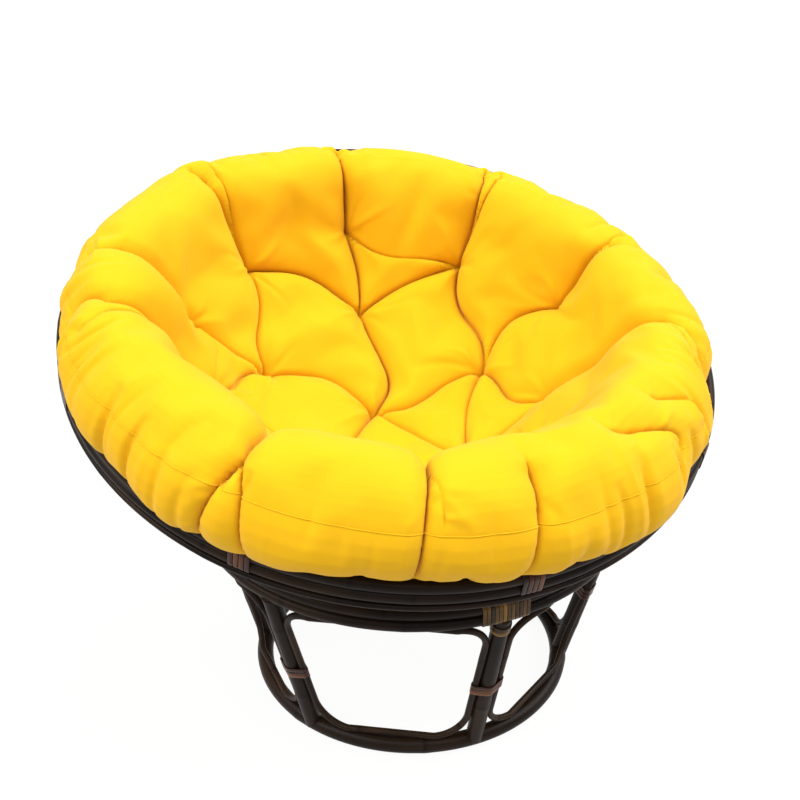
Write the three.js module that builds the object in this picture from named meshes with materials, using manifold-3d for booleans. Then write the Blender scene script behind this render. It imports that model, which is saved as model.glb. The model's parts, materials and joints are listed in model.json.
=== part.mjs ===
// Papasan chair: a round rattan base, a rattan bowl that lies in it at a slant, and a tufted cushion.
// Lengths are in millimetres and angles in degrees. +Z is up and the floor is z = 0.
// The bowl's low lip faces -Y. An azimuth is counted from -Y towards +X, seen from above.
// The origin lies on the floor, below the centre of the chair's bounding box.

import * as THREE from 'three';
import { mergeVertices } from 'three/addons/utils/BufferGeometryUtils.js';
import Module from 'manifold-3d';

// Clearance between neighbouring pieces
const SEAT_GAP = 0.3;

// Base: one bottom ring, a double top ring, six legs and a thin loop between each two legs
const FRAME_POLE_RADIUS = 14;
const BOTTOM_RING_RADIUS = 260;
const TOP_RING_RADIUS = 348;
const TOP_RING_HEIGHT = 326;
const TOP_POLE_RADIUS = 10;
const LEG_AZIMUTHS = [-3.5, 60, 118, 178, 238, 295.5];
const LEG_FOOT_OUTSET = 2;
const LEG_FOOT_HEIGHT = 15;
const LEG_TOP_INSET = 1;
const LEG_TOP_BITE = 4;
const LOOP_POLE_RADIUS = 5.5;
const LOOP_FOOT_OUTSET = 4;
const LOOP_TOP_CORNER = 44;
const LOOP_FOOT_CORNER = 58;

// Bowl: a double rim, eight ribs on one sphere and three hoops inside the ribs
const RIM_RADIUS = 521;
const RIM_POLE_RADIUS = 10.5;
const BOWL_DEPTH = 309;
const BOWL_TILT = 16;
const RIB_RADIUS = 9;
const RIB_COUNT = 8;
const RIB_FIRST_AZIMUTH = -3;
const RIB_FOOT_POLAR = 5.5;
const HOOP_RADIUS = 8;
const HOOP_POLAR_ANGLES = { middle: 42, lower: 24, bottom: 8 };

// Bindings of split rattan peel
const STRAP_THICKNESS = 1.5;
const RIM_BINDING = { turns: 4, pitch: 8.4, width: 7.4 };
const LEG_BINDING = { turns: 3, pitch: 7.2, width: 6.4 };
const SPLICE_BINDING = { turns: 12, pitch: 6.3, width: 5.5 };
const COLLAR_BINDING = { turns: 3, pitch: 5.6, width: 4.9 };
const LEG_BINDING_HEIGHT_SHARE = 0.45;
const COLLAR_DROP = 0.5;

// Cushion: a thick roll round a dish with sewn tufts. The roll lies nearer the front and left of the
// rim, which presses its lower side in. Insets are counted from the rim's middle line.
const ROLL_INSET = { front: 61, right: 105, back: 101, left: 61 };
const ROLL_CENTRE_HEIGHT = { front: 88, right: 42, back: 24, left: 70 };
const ROLL_RADIUS = { front: 90, right: 69, back: 64, left: 77 };
const ROLL_PRESS = 9;
const ROLL_CREASE = 6;
const CREST_CREASE = 14;
const SHOULDER_CREASE = 22;
const TUFT_THICKNESS = 100;
const PUFF_HEIGHT = 42;
const SLOPE_FOOT_RADIUS = 235;
const SLOPE_SAG = 12;
const INNER_TUFTS = { count: 5, radius: 208 };
const OUTER_TUFTS = { count: 10, inset: 186 };
const TUFT_AZIMUTH = 23;
const SEAM_ANGLE = 25;
const COVER_THICKNESS = 1.6;
const MIDDLE_ROW_SHARE = 0.5;
const SLOPE_ROW_SHARE = 0.22;
const INNER_PUFF_SHARE = 0.55;
const SHOULDER_ANGLE = 138;
const CREST_ANGLE = 103;
const BROW_ANGLE = 62;
const SIDE_ROLL_ANGLE = -12;
const UNDER_ROLL_ANGLE = -62;
const UNDER_SHOULDER_POLAR = 50;

// Facets
const RING_STEPS = 40;
const LOOP_STEPS = { side: 1, corner: 4, run: 4 };
const RIB_STEPS = 12;
const POLE_SIDES = 6;
const FRAME_SIDES = 8;
const WINDING_STEPS = 10;
const CUSHION_COLUMNS = 40;
const BOTTOM_HOOP_STEPS = 20;

// Directions and small sums
const rad = THREE.MathUtils.degToRad;
const up = new THREE.Vector3(0, 0, 1);
const outward = (azimuth) => new THREE.Vector3(Math.sin(rad(azimuth)), -Math.cos(rad(azimuth)), 0);
const along = (azimuth) => new THREE.Vector3(Math.cos(rad(azimuth)), Math.sin(rad(azimuth)), 0);
const sum = (...terms) => terms.reduce((total, [v, k]) => total.addScaledVector(v, k), new THREE.Vector3());
const mix = (a, b, t) => a + (b - a) * t;
const cornerRadius = (radius, sides) => radius / Math.cos(Math.PI / sides);
const chordSag = (radius, steps) => radius * (1 - Math.cos(Math.PI / steps));

// A faceted ring lies up to this far inside its true circle
const ringSag = (radius) => chordSag(radius, RING_STEPS);

// How far a binding's flats and its corners lie from the middle of the ring's pole that it holds
const bindingFlat = (poleRadius, ringRadius) =>
  cornerRadius(poleRadius, POLE_SIDES) + ringSag(ringRadius) / 2 + SEAT_GAP + STRAP_THICKNESS;
const bindingReach = (poleRadius, ringRadius) =>
  bindingFlat(poleRadius, ringRadius) / Math.cos(Math.PI / WINDING_STEPS) + ringSag(ringRadius) / 2;

// Places that follow from the sizes
const topRing = {
  lower: TOP_RING_HEIGHT,
  upper: TOP_RING_HEIGHT + 2 * TOP_POLE_RADIUS + SEAT_GAP,
};
const leg = {
  foot: { radius: BOTTOM_RING_RADIUS + LEG_FOOT_OUTSET, height: LEG_FOOT_HEIGHT },
  top: {
    radius: TOP_RING_RADIUS - LEG_TOP_INSET,
    height: TOP_RING_HEIGHT - TOP_POLE_RADIUS + LEG_TOP_BITE,
  },
};
const loop = {
  foot: {
    radius: BOTTOM_RING_RADIUS + LOOP_FOOT_OUTSET,
    height: 2 * FRAME_POLE_RADIUS + SEAT_GAP + LOOP_POLE_RADIUS,
  },
  top: {
    radius: TOP_RING_RADIUS - LEG_TOP_INSET,
    height: TOP_RING_HEIGHT - TOP_POLE_RADIUS - SEAT_GAP - LOOP_POLE_RADIUS,
  },
  offset: FRAME_POLE_RADIUS + SEAT_GAP + LOOP_POLE_RADIUS,
};
const sphereRadius = (RIM_RADIUS ** 2 + BOWL_DEPTH ** 2) / (2 * BOWL_DEPTH);
const rimDrop = sphereRadius - BOWL_DEPTH;
const rimPoleOffset = RIM_POLE_RADIUS + SEAT_GAP / 2;
const ribTopPolar = THREE.MathUtils.radToDeg(Math.asin(RIM_RADIUS / sphereRadius));
const ribSag = chordSag(sphereRadius, 360 / ((ribTopPolar - RIB_FOOT_POLAR) / RIB_STEPS));
const hoopSphere = sphereRadius - ribSag - RIB_RADIUS - SEAT_GAP - HOOP_RADIUS;
const cushionSphere = hoopSphere - HOOP_RADIUS - SEAT_GAP;
const dishSphere = cushionSphere - TUFT_THICKNESS;
const outerTuftRadius = RIM_RADIUS - OUTER_TUFTS.inset;
// The bowl's front rib lies on a flat of the binding of the top ring's splice
const spliceFlat = bindingFlat(TOP_POLE_RADIUS, TOP_RING_RADIUS) + ringSag(TOP_RING_RADIUS) / 2;
const bowlSeat = sphereRadius + RIB_RADIUS + SEAT_GAP + spliceFlat;
const bowlCentreHeight = topRing.upper + Math.sqrt(bowlSeat ** 2 - TOP_RING_RADIUS ** 2);

// Materials
const darkRattan = new THREE.MeshStandardMaterial({ color: 0x3b2c26, roughness: 0.45, metalness: 0 });
const thinRattan = new THREE.MeshStandardMaterial({ color: 0x46362d, roughness: 0.5, metalness: 0 });
const peel = new THREE.MeshStandardMaterial({ color: 0x7c4f33, roughness: 0.4, metalness: 0 });
const yellowTwill = new THREE.MeshStandardMaterial({ color: 0xffd21c, roughness: 0.9, metalness: 0 });
const whiteFibre = new THREE.MeshStandardMaterial({ color: 0xf2f0ea, roughness: 1, metalness: 0 });

// Meshes from points
function geometryOf(points, index) {
  const geometry = new THREE.BufferGeometry();
  geometry.setAttribute('position', new THREE.Float32BufferAttribute(points.flatMap((p) => p.toArray()), 3));
  geometry.setIndex(index);
  geometry.computeVertexNormals();
  return geometry;
}

function named(name, geometry, material) {
  const mesh = new THREE.Mesh(geometry, material);
  mesh.name = name;
  return mesh;
}

// A round pole's section: an even polygon about the true circle, with flats facing up and down
function poleSection(radius, sides) {
  const corner = cornerRadius(radius, sides);
  return Array.from({ length: sides }, (_, k) => {
    const angle = Math.PI / 2 + (2 * k + 1) * Math.PI / sides;
    return [corner * Math.cos(angle), corner * Math.sin(angle)];
  });
}

// A flat strap's section
function strapSection(width, thickness) {
  const w = width / 2;
  const t = thickness / 2;
  return [[-w, -t], [w, -t], [w, t], [-w, t]];
}

// A section's points at a station
const sectionAt = ({ at, side, rise }, section) =>
  section.map(([a, b]) => sum([at, 1], [side, a], [rise, b]));

// Sweeps a section along stations. Each station has a place and the section's side and rise
// directions, and side x rise points along the sweep.
function sweep(stations, section, closed) {
  const n = section.length;
  const points = stations.flatMap((station) => sectionAt(station, section));
  const index = [];
  const spans = closed ? stations.length : stations.length - 1;
  for (let i = 0; i < spans; i += 1) {
    const here = i * n;
    const next = ((i + 1) % stations.length) * n;
    for (let j = 0; j < n; j += 1) {
      const k = (j + 1) % n;
      index.push(here + j, here + k, next + k, here + j, next + k, next + j);
    }
  }
  if (!closed) {
    const end = (stations.length - 1) * n;
    for (let j = 1; j < n - 1; j += 1) {
      index.push(0, j + 1, j, end, end + j, end + j + 1);
    }
  }
  return geometryOf(points, index);
}

// Stations round a level circle. A lean turns the section's rise from straight up towards outward.
function circleStations(radius, height, steps, firstAzimuth = 0, lean = 0) {
  return Array.from({ length: steps }, (_, k) => {
    const azimuth = firstAzimuth + k * 360 / steps;
    const rise = sum([up, Math.cos(rad(lean))], [outward(azimuth), Math.sin(rad(lean))]);
    return {
      at: sum([outward(azimuth), radius], [up, height]),
      side: new THREE.Vector3().crossVectors(rise, along(azimuth)),
      rise,
    };
  });
}

const ring = (radius, height, poleRadius, sides) =>
  sweep(circleStations(radius, height, RING_STEPS, TUFT_AZIMUTH), poleSection(poleRadius, sides), true);

// Solid cutting
const wasm = await Module();
wasm.setup();

function solidOf(geometry) {
  const bare = geometry.clone();
  bare.deleteAttribute('normal');
  const merged = mergeVertices(bare);
  return new wasm.Manifold(new wasm.Mesh({
    numProp: 3,
    vertProperties: new Float32Array(merged.attributes.position.array),
    triVerts: new Uint32Array(merged.index.array),
  }));
}

function geometryOfSolid(solid) {
  const mesh = solid.getMesh();
  const geometry = new THREE.BufferGeometry();
  geometry.setAttribute('position', new THREE.BufferAttribute(new Float32Array(mesh.vertProperties), 3));
  geometry.setIndex(new THREE.BufferAttribute(new Uint32Array(mesh.triVerts), 1));
  geometry.computeVertexNormals();
  return geometry;
}

const cutBy = (geometry, ...tools) =>
  geometryOfSolid(tools.reduce((solid, tool) => solid.subtract(solidOf(tool)), solidOf(geometry)));

// Windings: a strap wound round the hull of the poles that it holds, cornered outside that hull.
// The circles are the poles' sections [x, y, radius], and place(s) gives the core's frame at
// a distance s along it: its origin, its axis and the directions x and y, with x cross y on the axis.
function hullCorner(circles, angle, offset) {
  const half = Math.PI / WINDING_STEPS;
  const [before, after] = [angle - half, angle + half].map((a) => {
    const [x, y] = [Math.cos(a), Math.sin(a)];
    return { x, y, reach: offset + Math.max(...circles.map(([cx, cy, r]) => cx * x + cy * y + r)) };
  });
  const turn = before.x * after.y - before.y * after.x;
  return [
    (before.reach * after.y - after.reach * before.y) / turn,
    (after.reach * before.x - before.reach * after.x) / turn,
  ];
}

function windingGeometry(label, { turns, pitch, width }, circles, place) {
  const count = Math.round(turns * WINDING_STEPS);
  const stations = [];
  for (let i = 0; i <= count; i += 1) {
    const turn = i / WINDING_STEPS;
    const { origin, axis, x, y } = place((turn - turns / 2) * pitch);
    const angle = 2 * Math.PI * turn;
    const [px, py] = hullCorner(circles, angle, SEAT_GAP + STRAP_THICKNESS / 2);
    stations.push({
      at: sum([origin, 1], [x, px], [y, py]),
      side: axis,
      rise: sum([x, Math.cos(angle)], [y, Math.sin(angle)]),
    });
  }
  const section = strapSection(width, STRAP_THICKNESS);
  console.log(`${label}: least gap between turns ${leastSelfGap(stations, section).toFixed(2)} mm`);
  return sweep(stations, section, false);
}

// The least distance between points of the strap that lie more than half a turn apart along it
function leastSelfGap(stations, section) {
  const rings = stations.map((station) => sectionAt(station, section));
  let least = Infinity;
  for (let i = 0; i < rings.length; i += 1) {
    for (let j = i + Math.ceil(WINDING_STEPS / 2) + 1; j < rings.length; j += 1) {
      for (const p of rings[i]) {
        for (const q of rings[j]) {
          least = Math.min(least, p.distanceTo(q));
        }
      }
    }
  }
  return least;
}

const stackedPoles = (poleRadius, ringRadius) => {
  const corner = cornerRadius(poleRadius, POLE_SIDES) + ringSag(ringRadius) / 2;
  const offset = poleRadius + SEAT_GAP / 2;
  return [[0, -offset, corner], [0, offset, corner]];
};

// A frame that runs round a ring, for a winding on it
function ringPlace(radius, height, azimuth) {
  return (s) => {
    const here = azimuth + THREE.MathUtils.radToDeg(s / radius);
    return {
      origin: sum([outward(here), radius - ringSag(radius) / 2], [up, height]),
      axis: along(here),
      x: outward(here).negate(),
      y: up,
    };
  };
}

// Base

const bottomRing = () => ring(BOTTOM_RING_RADIUS, FRAME_POLE_RADIUS, FRAME_POLE_RADIUS, FRAME_SIDES);

const legAt = (azimuth, end) => sum([outward(azimuth), end.radius], [up, end.height]);

const legDirection = (azimuth) => legAt(azimuth, leg.top).sub(legAt(azimuth, leg.foot)).normalize();

// A leg is cut level at both ends and hollowed to fit the rings. The spliced stretch of the top ring
// is thicker by its binding.
function legGeometry(azimuth, spliced) {
  const lean = 1 / legDirection(azimuth).dot(up);
  const stations = [leg.foot, leg.top].map((end) => ({
    at: legAt(azimuth, end),
    side: outward(azimuth).multiplyScalar(lean),
    rise: along(azimuth),
  }));
  const blank = sweep(stations, poleSection(FRAME_POLE_RADIUS, FRAME_SIDES), false);
  const held = spliced ? bindingReach(TOP_POLE_RADIUS, TOP_RING_RADIUS) : TOP_POLE_RADIUS;
  const foot = ring(BOTTOM_RING_RADIUS, FRAME_POLE_RADIUS, FRAME_POLE_RADIUS + SEAT_GAP, FRAME_SIDES);
  const head = ring(TOP_RING_RADIUS, topRing.lower, held + SEAT_GAP, POLE_SIDES);
  return cutBy(blank, foot, head);
}

// The loop's outline on the unrolled side of the base: x along the ring, y up
function loopOutline(halfSpan) {
  const halfWidth = (end) => end.radius * rad(halfSpan) - loop.offset;
  const corners = [
    { x: -halfWidth(loop.foot), y: loop.foot.height, r: LOOP_FOOT_CORNER },
    { x: halfWidth(loop.foot), y: loop.foot.height, r: LOOP_FOOT_CORNER },
    { x: halfWidth(loop.top), y: loop.top.height, r: LOOP_TOP_CORNER },
    { x: -halfWidth(loop.top), y: loop.top.height, r: LOOP_TOP_CORNER },
  ];
  const outline = [];
  corners.forEach((corner, k) => {
    const before = corners[(k + 3) % 4];
    const after = corners[(k + 1) % 4];
    outline.push(...roundedCorner(before, corner, after));
    const steps = k % 2 === 0 ? LOOP_STEPS.run : LOOP_STEPS.side;
    const from = outline[outline.length - 1];
    const to = roundedCorner(corner, after, corners[(k + 2) % 4])[0];
    for (let i = 1; i < steps; i += 1) {
      outline.push(from.clone().lerp(to, i / steps));
    }
  });
  return outline;
}

function roundedCorner(before, corner, after) {
  const at = new THREE.Vector2(corner.x, corner.y);
  const back = new THREE.Vector2(before.x, before.y).sub(at).normalize();
  const ahead = new THREE.Vector2(after.x, after.y).sub(at).normalize();
  const half = Math.acos(back.dot(ahead)) / 2;
  const centre = at.clone().addScaledVector(back.clone().add(ahead).normalize(), corner.r / Math.sin(half));
  const start = at.clone().addScaledVector(back, corner.r / Math.tan(half)).sub(centre);
  const turn = Math.PI - 2 * half;
  return Array.from({ length: LOOP_STEPS.corner + 1 }, (_, i) =>
    start.clone().rotateAround(new THREE.Vector2(), turn * i / LOOP_STEPS.corner).add(centre));
}

// A loop stands between two legs, on the side face that the two rings span
function loopGeometry(fromAzimuth, toAzimuth) {
  const halfSpan = (toAzimuth - fromAzimuth) / 2;
  const middle = fromAzimuth + halfSpan;
  const places = loopOutline(halfSpan).map(({ x, y }) => {
    const share = (y - loop.foot.height) / (loop.top.height - loop.foot.height);
    const radius = mix(loop.foot.radius, loop.top.radius, share);
    const azimuth = middle + THREE.MathUtils.radToDeg(x / radius);
    return { at: sum([outward(azimuth), radius], [up, y]), azimuth };
  });
  const stations = places.map(({ at, azimuth }, i) => {
    const before = places[(i + places.length - 1) % places.length].at;
    const after = places[(i + 1) % places.length].at;
    const tangent = after.clone().sub(before).normalize();
    const inward = outward(azimuth).negate();
    const side = inward.addScaledVector(tangent, -inward.dot(tangent)).normalize();
    return { at, side, rise: new THREE.Vector3().crossVectors(tangent, side) };
  });
  return sweep(stations, poleSection(LOOP_POLE_RADIUS, POLE_SIDES), true);
}

// A frame that runs up a leg, for a winding on it
function legPlace(azimuth, height) {
  const axis = legDirection(azimuth);
  const foot = legAt(azimuth, leg.foot);
  const start = foot.clone().addScaledVector(axis, (height - foot.z) / axis.z);
  const x = along(azimuth);
  const y = new THREE.Vector3().crossVectors(axis, x);
  return (s) => ({ origin: start.clone().addScaledVector(axis, s), axis, x, y });
}

// A leg binding holds the leg and the sides of the loops on its left and right
function legBindingGeometry(label, azimuth) {
  const height = mix(leg.foot.height, leg.top.height, LEG_BINDING_HEIGHT_SHARE);
  const legShare = (height - leg.foot.height) / (leg.top.height - leg.foot.height);
  const loopShare = (height - loop.foot.height) / (loop.top.height - loop.foot.height);
  const loopRadius = mix(loop.foot.radius, loop.top.radius, loopShare);
  const setBack = mix(leg.foot.radius, leg.top.radius, legShare) - loopRadius;
  const loopCorner = cornerRadius(LOOP_POLE_RADIUS, POLE_SIDES);
  const circles = [
    [0, 0, cornerRadius(FRAME_POLE_RADIUS, FRAME_SIDES)],
    [-loop.offset, setBack, loopCorner],
    [loop.offset, setBack, loopCorner],
  ];
  return windingGeometry(label, LEG_BINDING, circles, legPlace(azimuth, height));
}

// The collar lies just below the splice binding, square to the leaning leg
function collarHeight() {
  const axis = legDirection(LEG_AZIMUTHS[0]);
  const lean = Math.hypot(axis.x, axis.y);
  const halfLength = (COLLAR_BINDING.turns * COLLAR_BINDING.pitch + COLLAR_BINDING.width) / 2;
  const halfWidth = cornerRadius(FRAME_POLE_RADIUS, FRAME_SIDES) + SEAT_GAP + STRAP_THICKNESS;
  const top = topRing.lower - bindingReach(TOP_POLE_RADIUS, TOP_RING_RADIUS) - COLLAR_DROP;
  return top - halfLength * axis.z - halfWidth / Math.cos(Math.PI / WINDING_STEPS) * lean;
}

function baseGroup() {
  const group = new THREE.Group();
  const lower = ring(TOP_RING_RADIUS, topRing.lower, TOP_POLE_RADIUS, POLE_SIDES);
  const upper = ring(TOP_RING_RADIUS, topRing.upper, TOP_POLE_RADIUS, POLE_SIDES);
  group.add(named('base_ring_bottom', bottomRing(), darkRattan));
  group.add(named('base_ring_top_lower', lower, darkRattan));
  group.add(named('base_ring_top_upper', upper, darkRattan));
  LEG_AZIMUTHS.forEach((azimuth, k) => {
    const next = k + 1 < LEG_AZIMUTHS.length ? LEG_AZIMUTHS[k + 1] : LEG_AZIMUTHS[0] + 360;
    group.add(named(`base_leg_${k + 1}`, legGeometry(azimuth, k === 0), darkRattan));
    group.add(named(`base_loop_${k + 1}`, loopGeometry(azimuth, next), thinRattan));
    const label = `base_leg_binding_${k + 1}`;
    group.add(named(label, legBindingGeometry(label, azimuth), peel));
  });
  const spliceMiddle = (topRing.lower + topRing.upper) / 2;
  const splice = windingGeometry('base_splice_binding', SPLICE_BINDING,
    stackedPoles(TOP_POLE_RADIUS, TOP_RING_RADIUS),
    ringPlace(TOP_RING_RADIUS, spliceMiddle, LEG_AZIMUTHS[0]));
  group.add(named('base_splice_binding', splice, peel));
  const collar = windingGeometry('base_collar_binding', COLLAR_BINDING,
    [[0, 0, cornerRadius(FRAME_POLE_RADIUS, FRAME_SIDES)]], legPlace(LEG_AZIMUTHS[0], collarHeight()));
  group.add(named('base_collar_binding', collar, peel));
  return group;
}

// Bowl, about the middle of its sphere, with the rim level

function ribGeometry(azimuth) {
  const stations = Array.from({ length: RIB_STEPS + 1 }, (_, k) => {
    const polar = mix(RIB_FOOT_POLAR, ribTopPolar, k / RIB_STEPS);
    const rise = sum([outward(azimuth), Math.sin(rad(polar))], [up, -Math.cos(rad(polar))]);
    const ahead = sum([outward(azimuth), Math.cos(rad(polar))], [up, Math.sin(rad(polar))]);
    const side = new THREE.Vector3().crossVectors(rise, ahead);
    return { at: rise.clone().multiplyScalar(sphereRadius), side, rise };
  });
  const blank = sweep(stations, poleSection(RIB_RADIUS, POLE_SIDES), false);
  const held = [-rimPoleOffset, rimPoleOffset].map((offset) =>
    ring(RIM_RADIUS, offset - rimDrop, bindingReach(RIM_POLE_RADIUS, RIM_RADIUS) + SEAT_GAP, FRAME_SIDES));
  return cutBy(blank, ...held);
}

function hoopGeometry(polar, steps) {
  const radius = hoopSphere * Math.sin(rad(polar));
  const height = -hoopSphere * Math.cos(rad(polar));
  const stations = circleStations(radius, height, steps, TUFT_AZIMUTH, 180 - polar);
  return sweep(stations, poleSection(HOOP_RADIUS, POLE_SIDES), true);
}

function bowlGroup() {
  const group = new THREE.Group();
  const rimPole = (offset) => ring(RIM_RADIUS, offset - rimDrop, RIM_POLE_RADIUS, POLE_SIDES);
  const held = stackedPoles(RIM_POLE_RADIUS, RIM_RADIUS);
  group.add(named('bowl_rim_lower', rimPole(-rimPoleOffset), darkRattan));
  group.add(named('bowl_rim_upper', rimPole(rimPoleOffset), darkRattan));
  group.add(named('bowl_hoop_middle', hoopGeometry(HOOP_POLAR_ANGLES.middle, RING_STEPS), darkRattan));
  group.add(named('bowl_hoop_lower', hoopGeometry(HOOP_POLAR_ANGLES.lower, RING_STEPS), darkRattan));
  group.add(named('bowl_hoop_bottom', hoopGeometry(HOOP_POLAR_ANGLES.bottom, BOTTOM_HOOP_STEPS), darkRattan));
  for (let k = 0; k < RIB_COUNT; k += 1) {
    const azimuth = RIB_FIRST_AZIMUTH + k * 360 / RIB_COUNT;
    group.add(named(`bowl_rib_${k + 1}`, ribGeometry(azimuth), darkRattan));
    const label = `bowl_rim_binding_${k + 1}`;
    const place = ringPlace(RIM_RADIUS, -rimDrop, azimuth);
    group.add(named(label, windingGeometry(label, RIM_BINDING, held, place), peel));
  }
  return group;
}

// Cushion, in the bowl's frame. Heights are measured from the rim's plane.

// A size that changes smoothly round the rim
function aroundRim({ front, right, back, left }, azimuth) {
  const ends = (front + back) / 2;
  const sides = (right + left) / 2;
  const swing = (front - back) / 2 * Math.cos(rad(azimuth)) + (right - left) / 2 * Math.sin(rad(azimuth));
  return (ends + sides) / 2 + swing + (ends - sides) / 2 * Math.cos(rad(2 * azimuth));
}

// 0 at each tuft or crease of an even circle of them, 1 halfway between two
const betweenTufts = (azimuth, count) => Math.abs(Math.sin(rad((azimuth - TUFT_AZIMUTH) * count / 2)));

const placed = (azimuth, radius, height) => sum([outward(azimuth), radius], [up, height - rimDrop]);

function dishPoint(azimuth, radius, puff) {
  const height = rimDrop - Math.sqrt(dishSphere ** 2 - radius ** 2);
  return placed(azimuth, radius, height + PUFF_HEIGHT * puff);
}

function rollPoint(azimuth, angle, { slip = 0, press = 0, crease = ROLL_CREASE } = {}) {
  const fold = crease * (1 - betweenTufts(azimuth, OUTER_TUFTS.count));
  const radius = aroundRim(ROLL_RADIUS, azimuth) - fold - press;
  const at = rad(angle) + slip / radius;
  const centre = RIM_RADIUS - aroundRim(ROLL_INSET, azimuth);
  const height = aroundRim(ROLL_CENTRE_HEIGHT, azimuth);
  return placed(azimuth, centre + radius * Math.cos(at), height + radius * Math.sin(at));
}

// The face runs almost straight from the dish's edge up to the roll's shoulder
function slopePoint(azimuth, share) {
  const foot = dishPoint(azimuth, SLOPE_FOOT_RADIUS, 1);
  const place = foot.lerp(rollPoint(azimuth, SHOULDER_ANGLE, { crease: 0 }), share);
  return place.addScaledVector(place.clone().normalize(), SLOPE_SAG * Math.sin(Math.PI * share));
}

// The outer tufts' row: on the tufts' level at each tuft, and on the slope halfway between two
function outerTuftPoint(azimuth) {
  const shoulder = rollPoint(azimuth, SHOULDER_ANGLE, { crease: 0 });
  const shoulderRadius = Math.hypot(shoulder.x, shoulder.y);
  const share = (outerTuftRadius - SLOPE_FOOT_RADIUS) / (shoulderRadius - SLOPE_FOOT_RADIUS);
  return dishPoint(azimuth, outerTuftRadius, 0)
    .lerp(slopePoint(azimuth, share), betweenTufts(azimuth, OUTER_TUFTS.count));
}

const underPoint = (azimuth, polar) =>
  sum([outward(azimuth), cushionSphere * Math.sin(rad(polar))], [up, -cushionSphere * Math.cos(rad(polar))]);

// Rows of the cushion's face from the dish's middle out to the seam, and of its underside from the
// seam down to the middle. The underside rests on the hoops.
const faceRows = [
  (a) => dishPoint(a, INNER_TUFTS.radius * MIDDLE_ROW_SHARE,
    mix(INNER_PUFF_SHARE, 1, betweenTufts(a, INNER_TUFTS.count))),
  (a) => dishPoint(a, INNER_TUFTS.radius, betweenTufts(a, INNER_TUFTS.count)),
  (a) => slopePoint(a, SLOPE_ROW_SHARE),
  outerTuftPoint,
  (a) => rollPoint(a, SHOULDER_ANGLE, { crease: SHOULDER_CREASE }),
  (a) => rollPoint(a, CREST_ANGLE, { crease: CREST_CREASE }),
  (a) => rollPoint(a, BROW_ANGLE),
  (a) => rollPoint(a, SEAM_ANGLE, { slip: SEAT_GAP / 2 }),
];
const underRows = [
  (a) => rollPoint(a, SEAM_ANGLE, { slip: -SEAT_GAP / 2 }),
  (a) => rollPoint(a, SIDE_ROLL_ANGLE),
  (a) => rollPoint(a, UNDER_ROLL_ANGLE, { press: ROLL_PRESS }),
  ...[UNDER_SHOULDER_POLAR, HOOP_POLAR_ANGLES.middle, HOOP_POLAR_ANGLES.lower, HOOP_POLAR_ANGLES.bottom]
    .map((polar) => (a) => underPoint(a, polar)),
];

// The whole cushion as rows of points between a top and a bottom pole, and its normals
function cushionSurface() {
  const turn = 360 / CUSHION_COLUMNS;
  const azimuths = Array.from({ length: CUSHION_COLUMNS }, (_, k) => TUFT_AZIMUTH + k * turn);
  const rows = [...faceRows, ...underRows].map((row) => azimuths.map(row));
  const top = dishPoint(0, 0, 0);
  const bottom = underPoint(0, 0);
  const points = [top, ...rows.flat(), bottom];
  const index = closedSkin(rows.length, points.length - 1);
  const geometry = geometryOf(points, index);
  const stored = geometry.attributes.normal;
  const normals = points.map((_, i) => new THREE.Vector3().fromBufferAttribute(stored, i));
  const seam = lastRowStart(faceRows.length);
  for (let k = seam; k < seam + CUSHION_COLUMNS; k += 1) {
    const shared = normals[k].clone().add(normals[k + CUSHION_COLUMNS]).normalize();
    normals[k] = shared;
    normals[k + CUSHION_COLUMNS] = shared;
  }
  return { points, normals };
}

const lastRowStart = (rowCount) => 1 + (rowCount - 1) * CUSHION_COLUMNS;

// Triangles from a pole to the row that starts at an index
function fan(pole, start, down) {
  const index = [];
  for (let k = 0; k < CUSHION_COLUMNS; k += 1) {
    const here = start + k;
    const next = start + (k + 1) % CUSHION_COLUMNS;
    index.push(pole, down ? next : here, down ? here : next);
  }
  return index;
}

// Triangles between rows that follow each other
function strips(start, rowCount) {
  const index = [];
  for (let i = 0; i < rowCount - 1; i += 1) {
    for (let k = 0; k < CUSHION_COLUMNS; k += 1) {
      const here = start + i * CUSHION_COLUMNS;
      const next = (k + 1) % CUSHION_COLUMNS;
      const below = here + CUSHION_COLUMNS;
      index.push(here + k, below + k, below + next, here + k, below + next, here + next);
    }
  }
  return index;
}

// Triangles of all rows between the top pole and the bottom pole
const closedSkin = (rowCount, bottom) =>
  [...fan(0, 1, false), ...strips(1, rowCount), ...fan(bottom, lastRowStart(rowCount), true)];

const flipped = (index) => index.map((_, i) => index[i - (i % 3) + 2 - (i % 3)]);

// One cover panel: an outer skin, the same skin moved inward, and the edge at the seam
function panelGeometry(surface, firstRow, rowCount, isFace) {
  const count = surface.points.length;
  const start = 1 + firstRow * CUSHION_COLUMNS;
  const poleIndex = isFace ? 0 : count - 1;
  const used = [poleIndex, ...Array.from({ length: rowCount * CUSHION_COLUMNS }, (_, k) => start + k)];
  const outer = used.map((i) => surface.points[i]);
  const inner = used.map((i) => sum([surface.points[i], 1], [surface.normals[i], -COVER_THICKNESS]));
  const last = lastRowStart(rowCount);
  const skin = [...strips(1, rowCount), ...(isFace ? fan(0, 1, false) : fan(0, last, true))];
  const seamRow = isFace ? last : 1;
  const innerRow = outer.length + seamRow - CUSHION_COLUMNS;
  const edge = strips(0, 2).map((i) => i + (i < CUSHION_COLUMNS ? seamRow : innerRow));
  const lining = flipped(skin).map((i) => i + outer.length);
  return geometryOf([...outer, ...inner], [...skin, ...lining, ...(isFace ? edge : flipped(edge))]);
}

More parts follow.
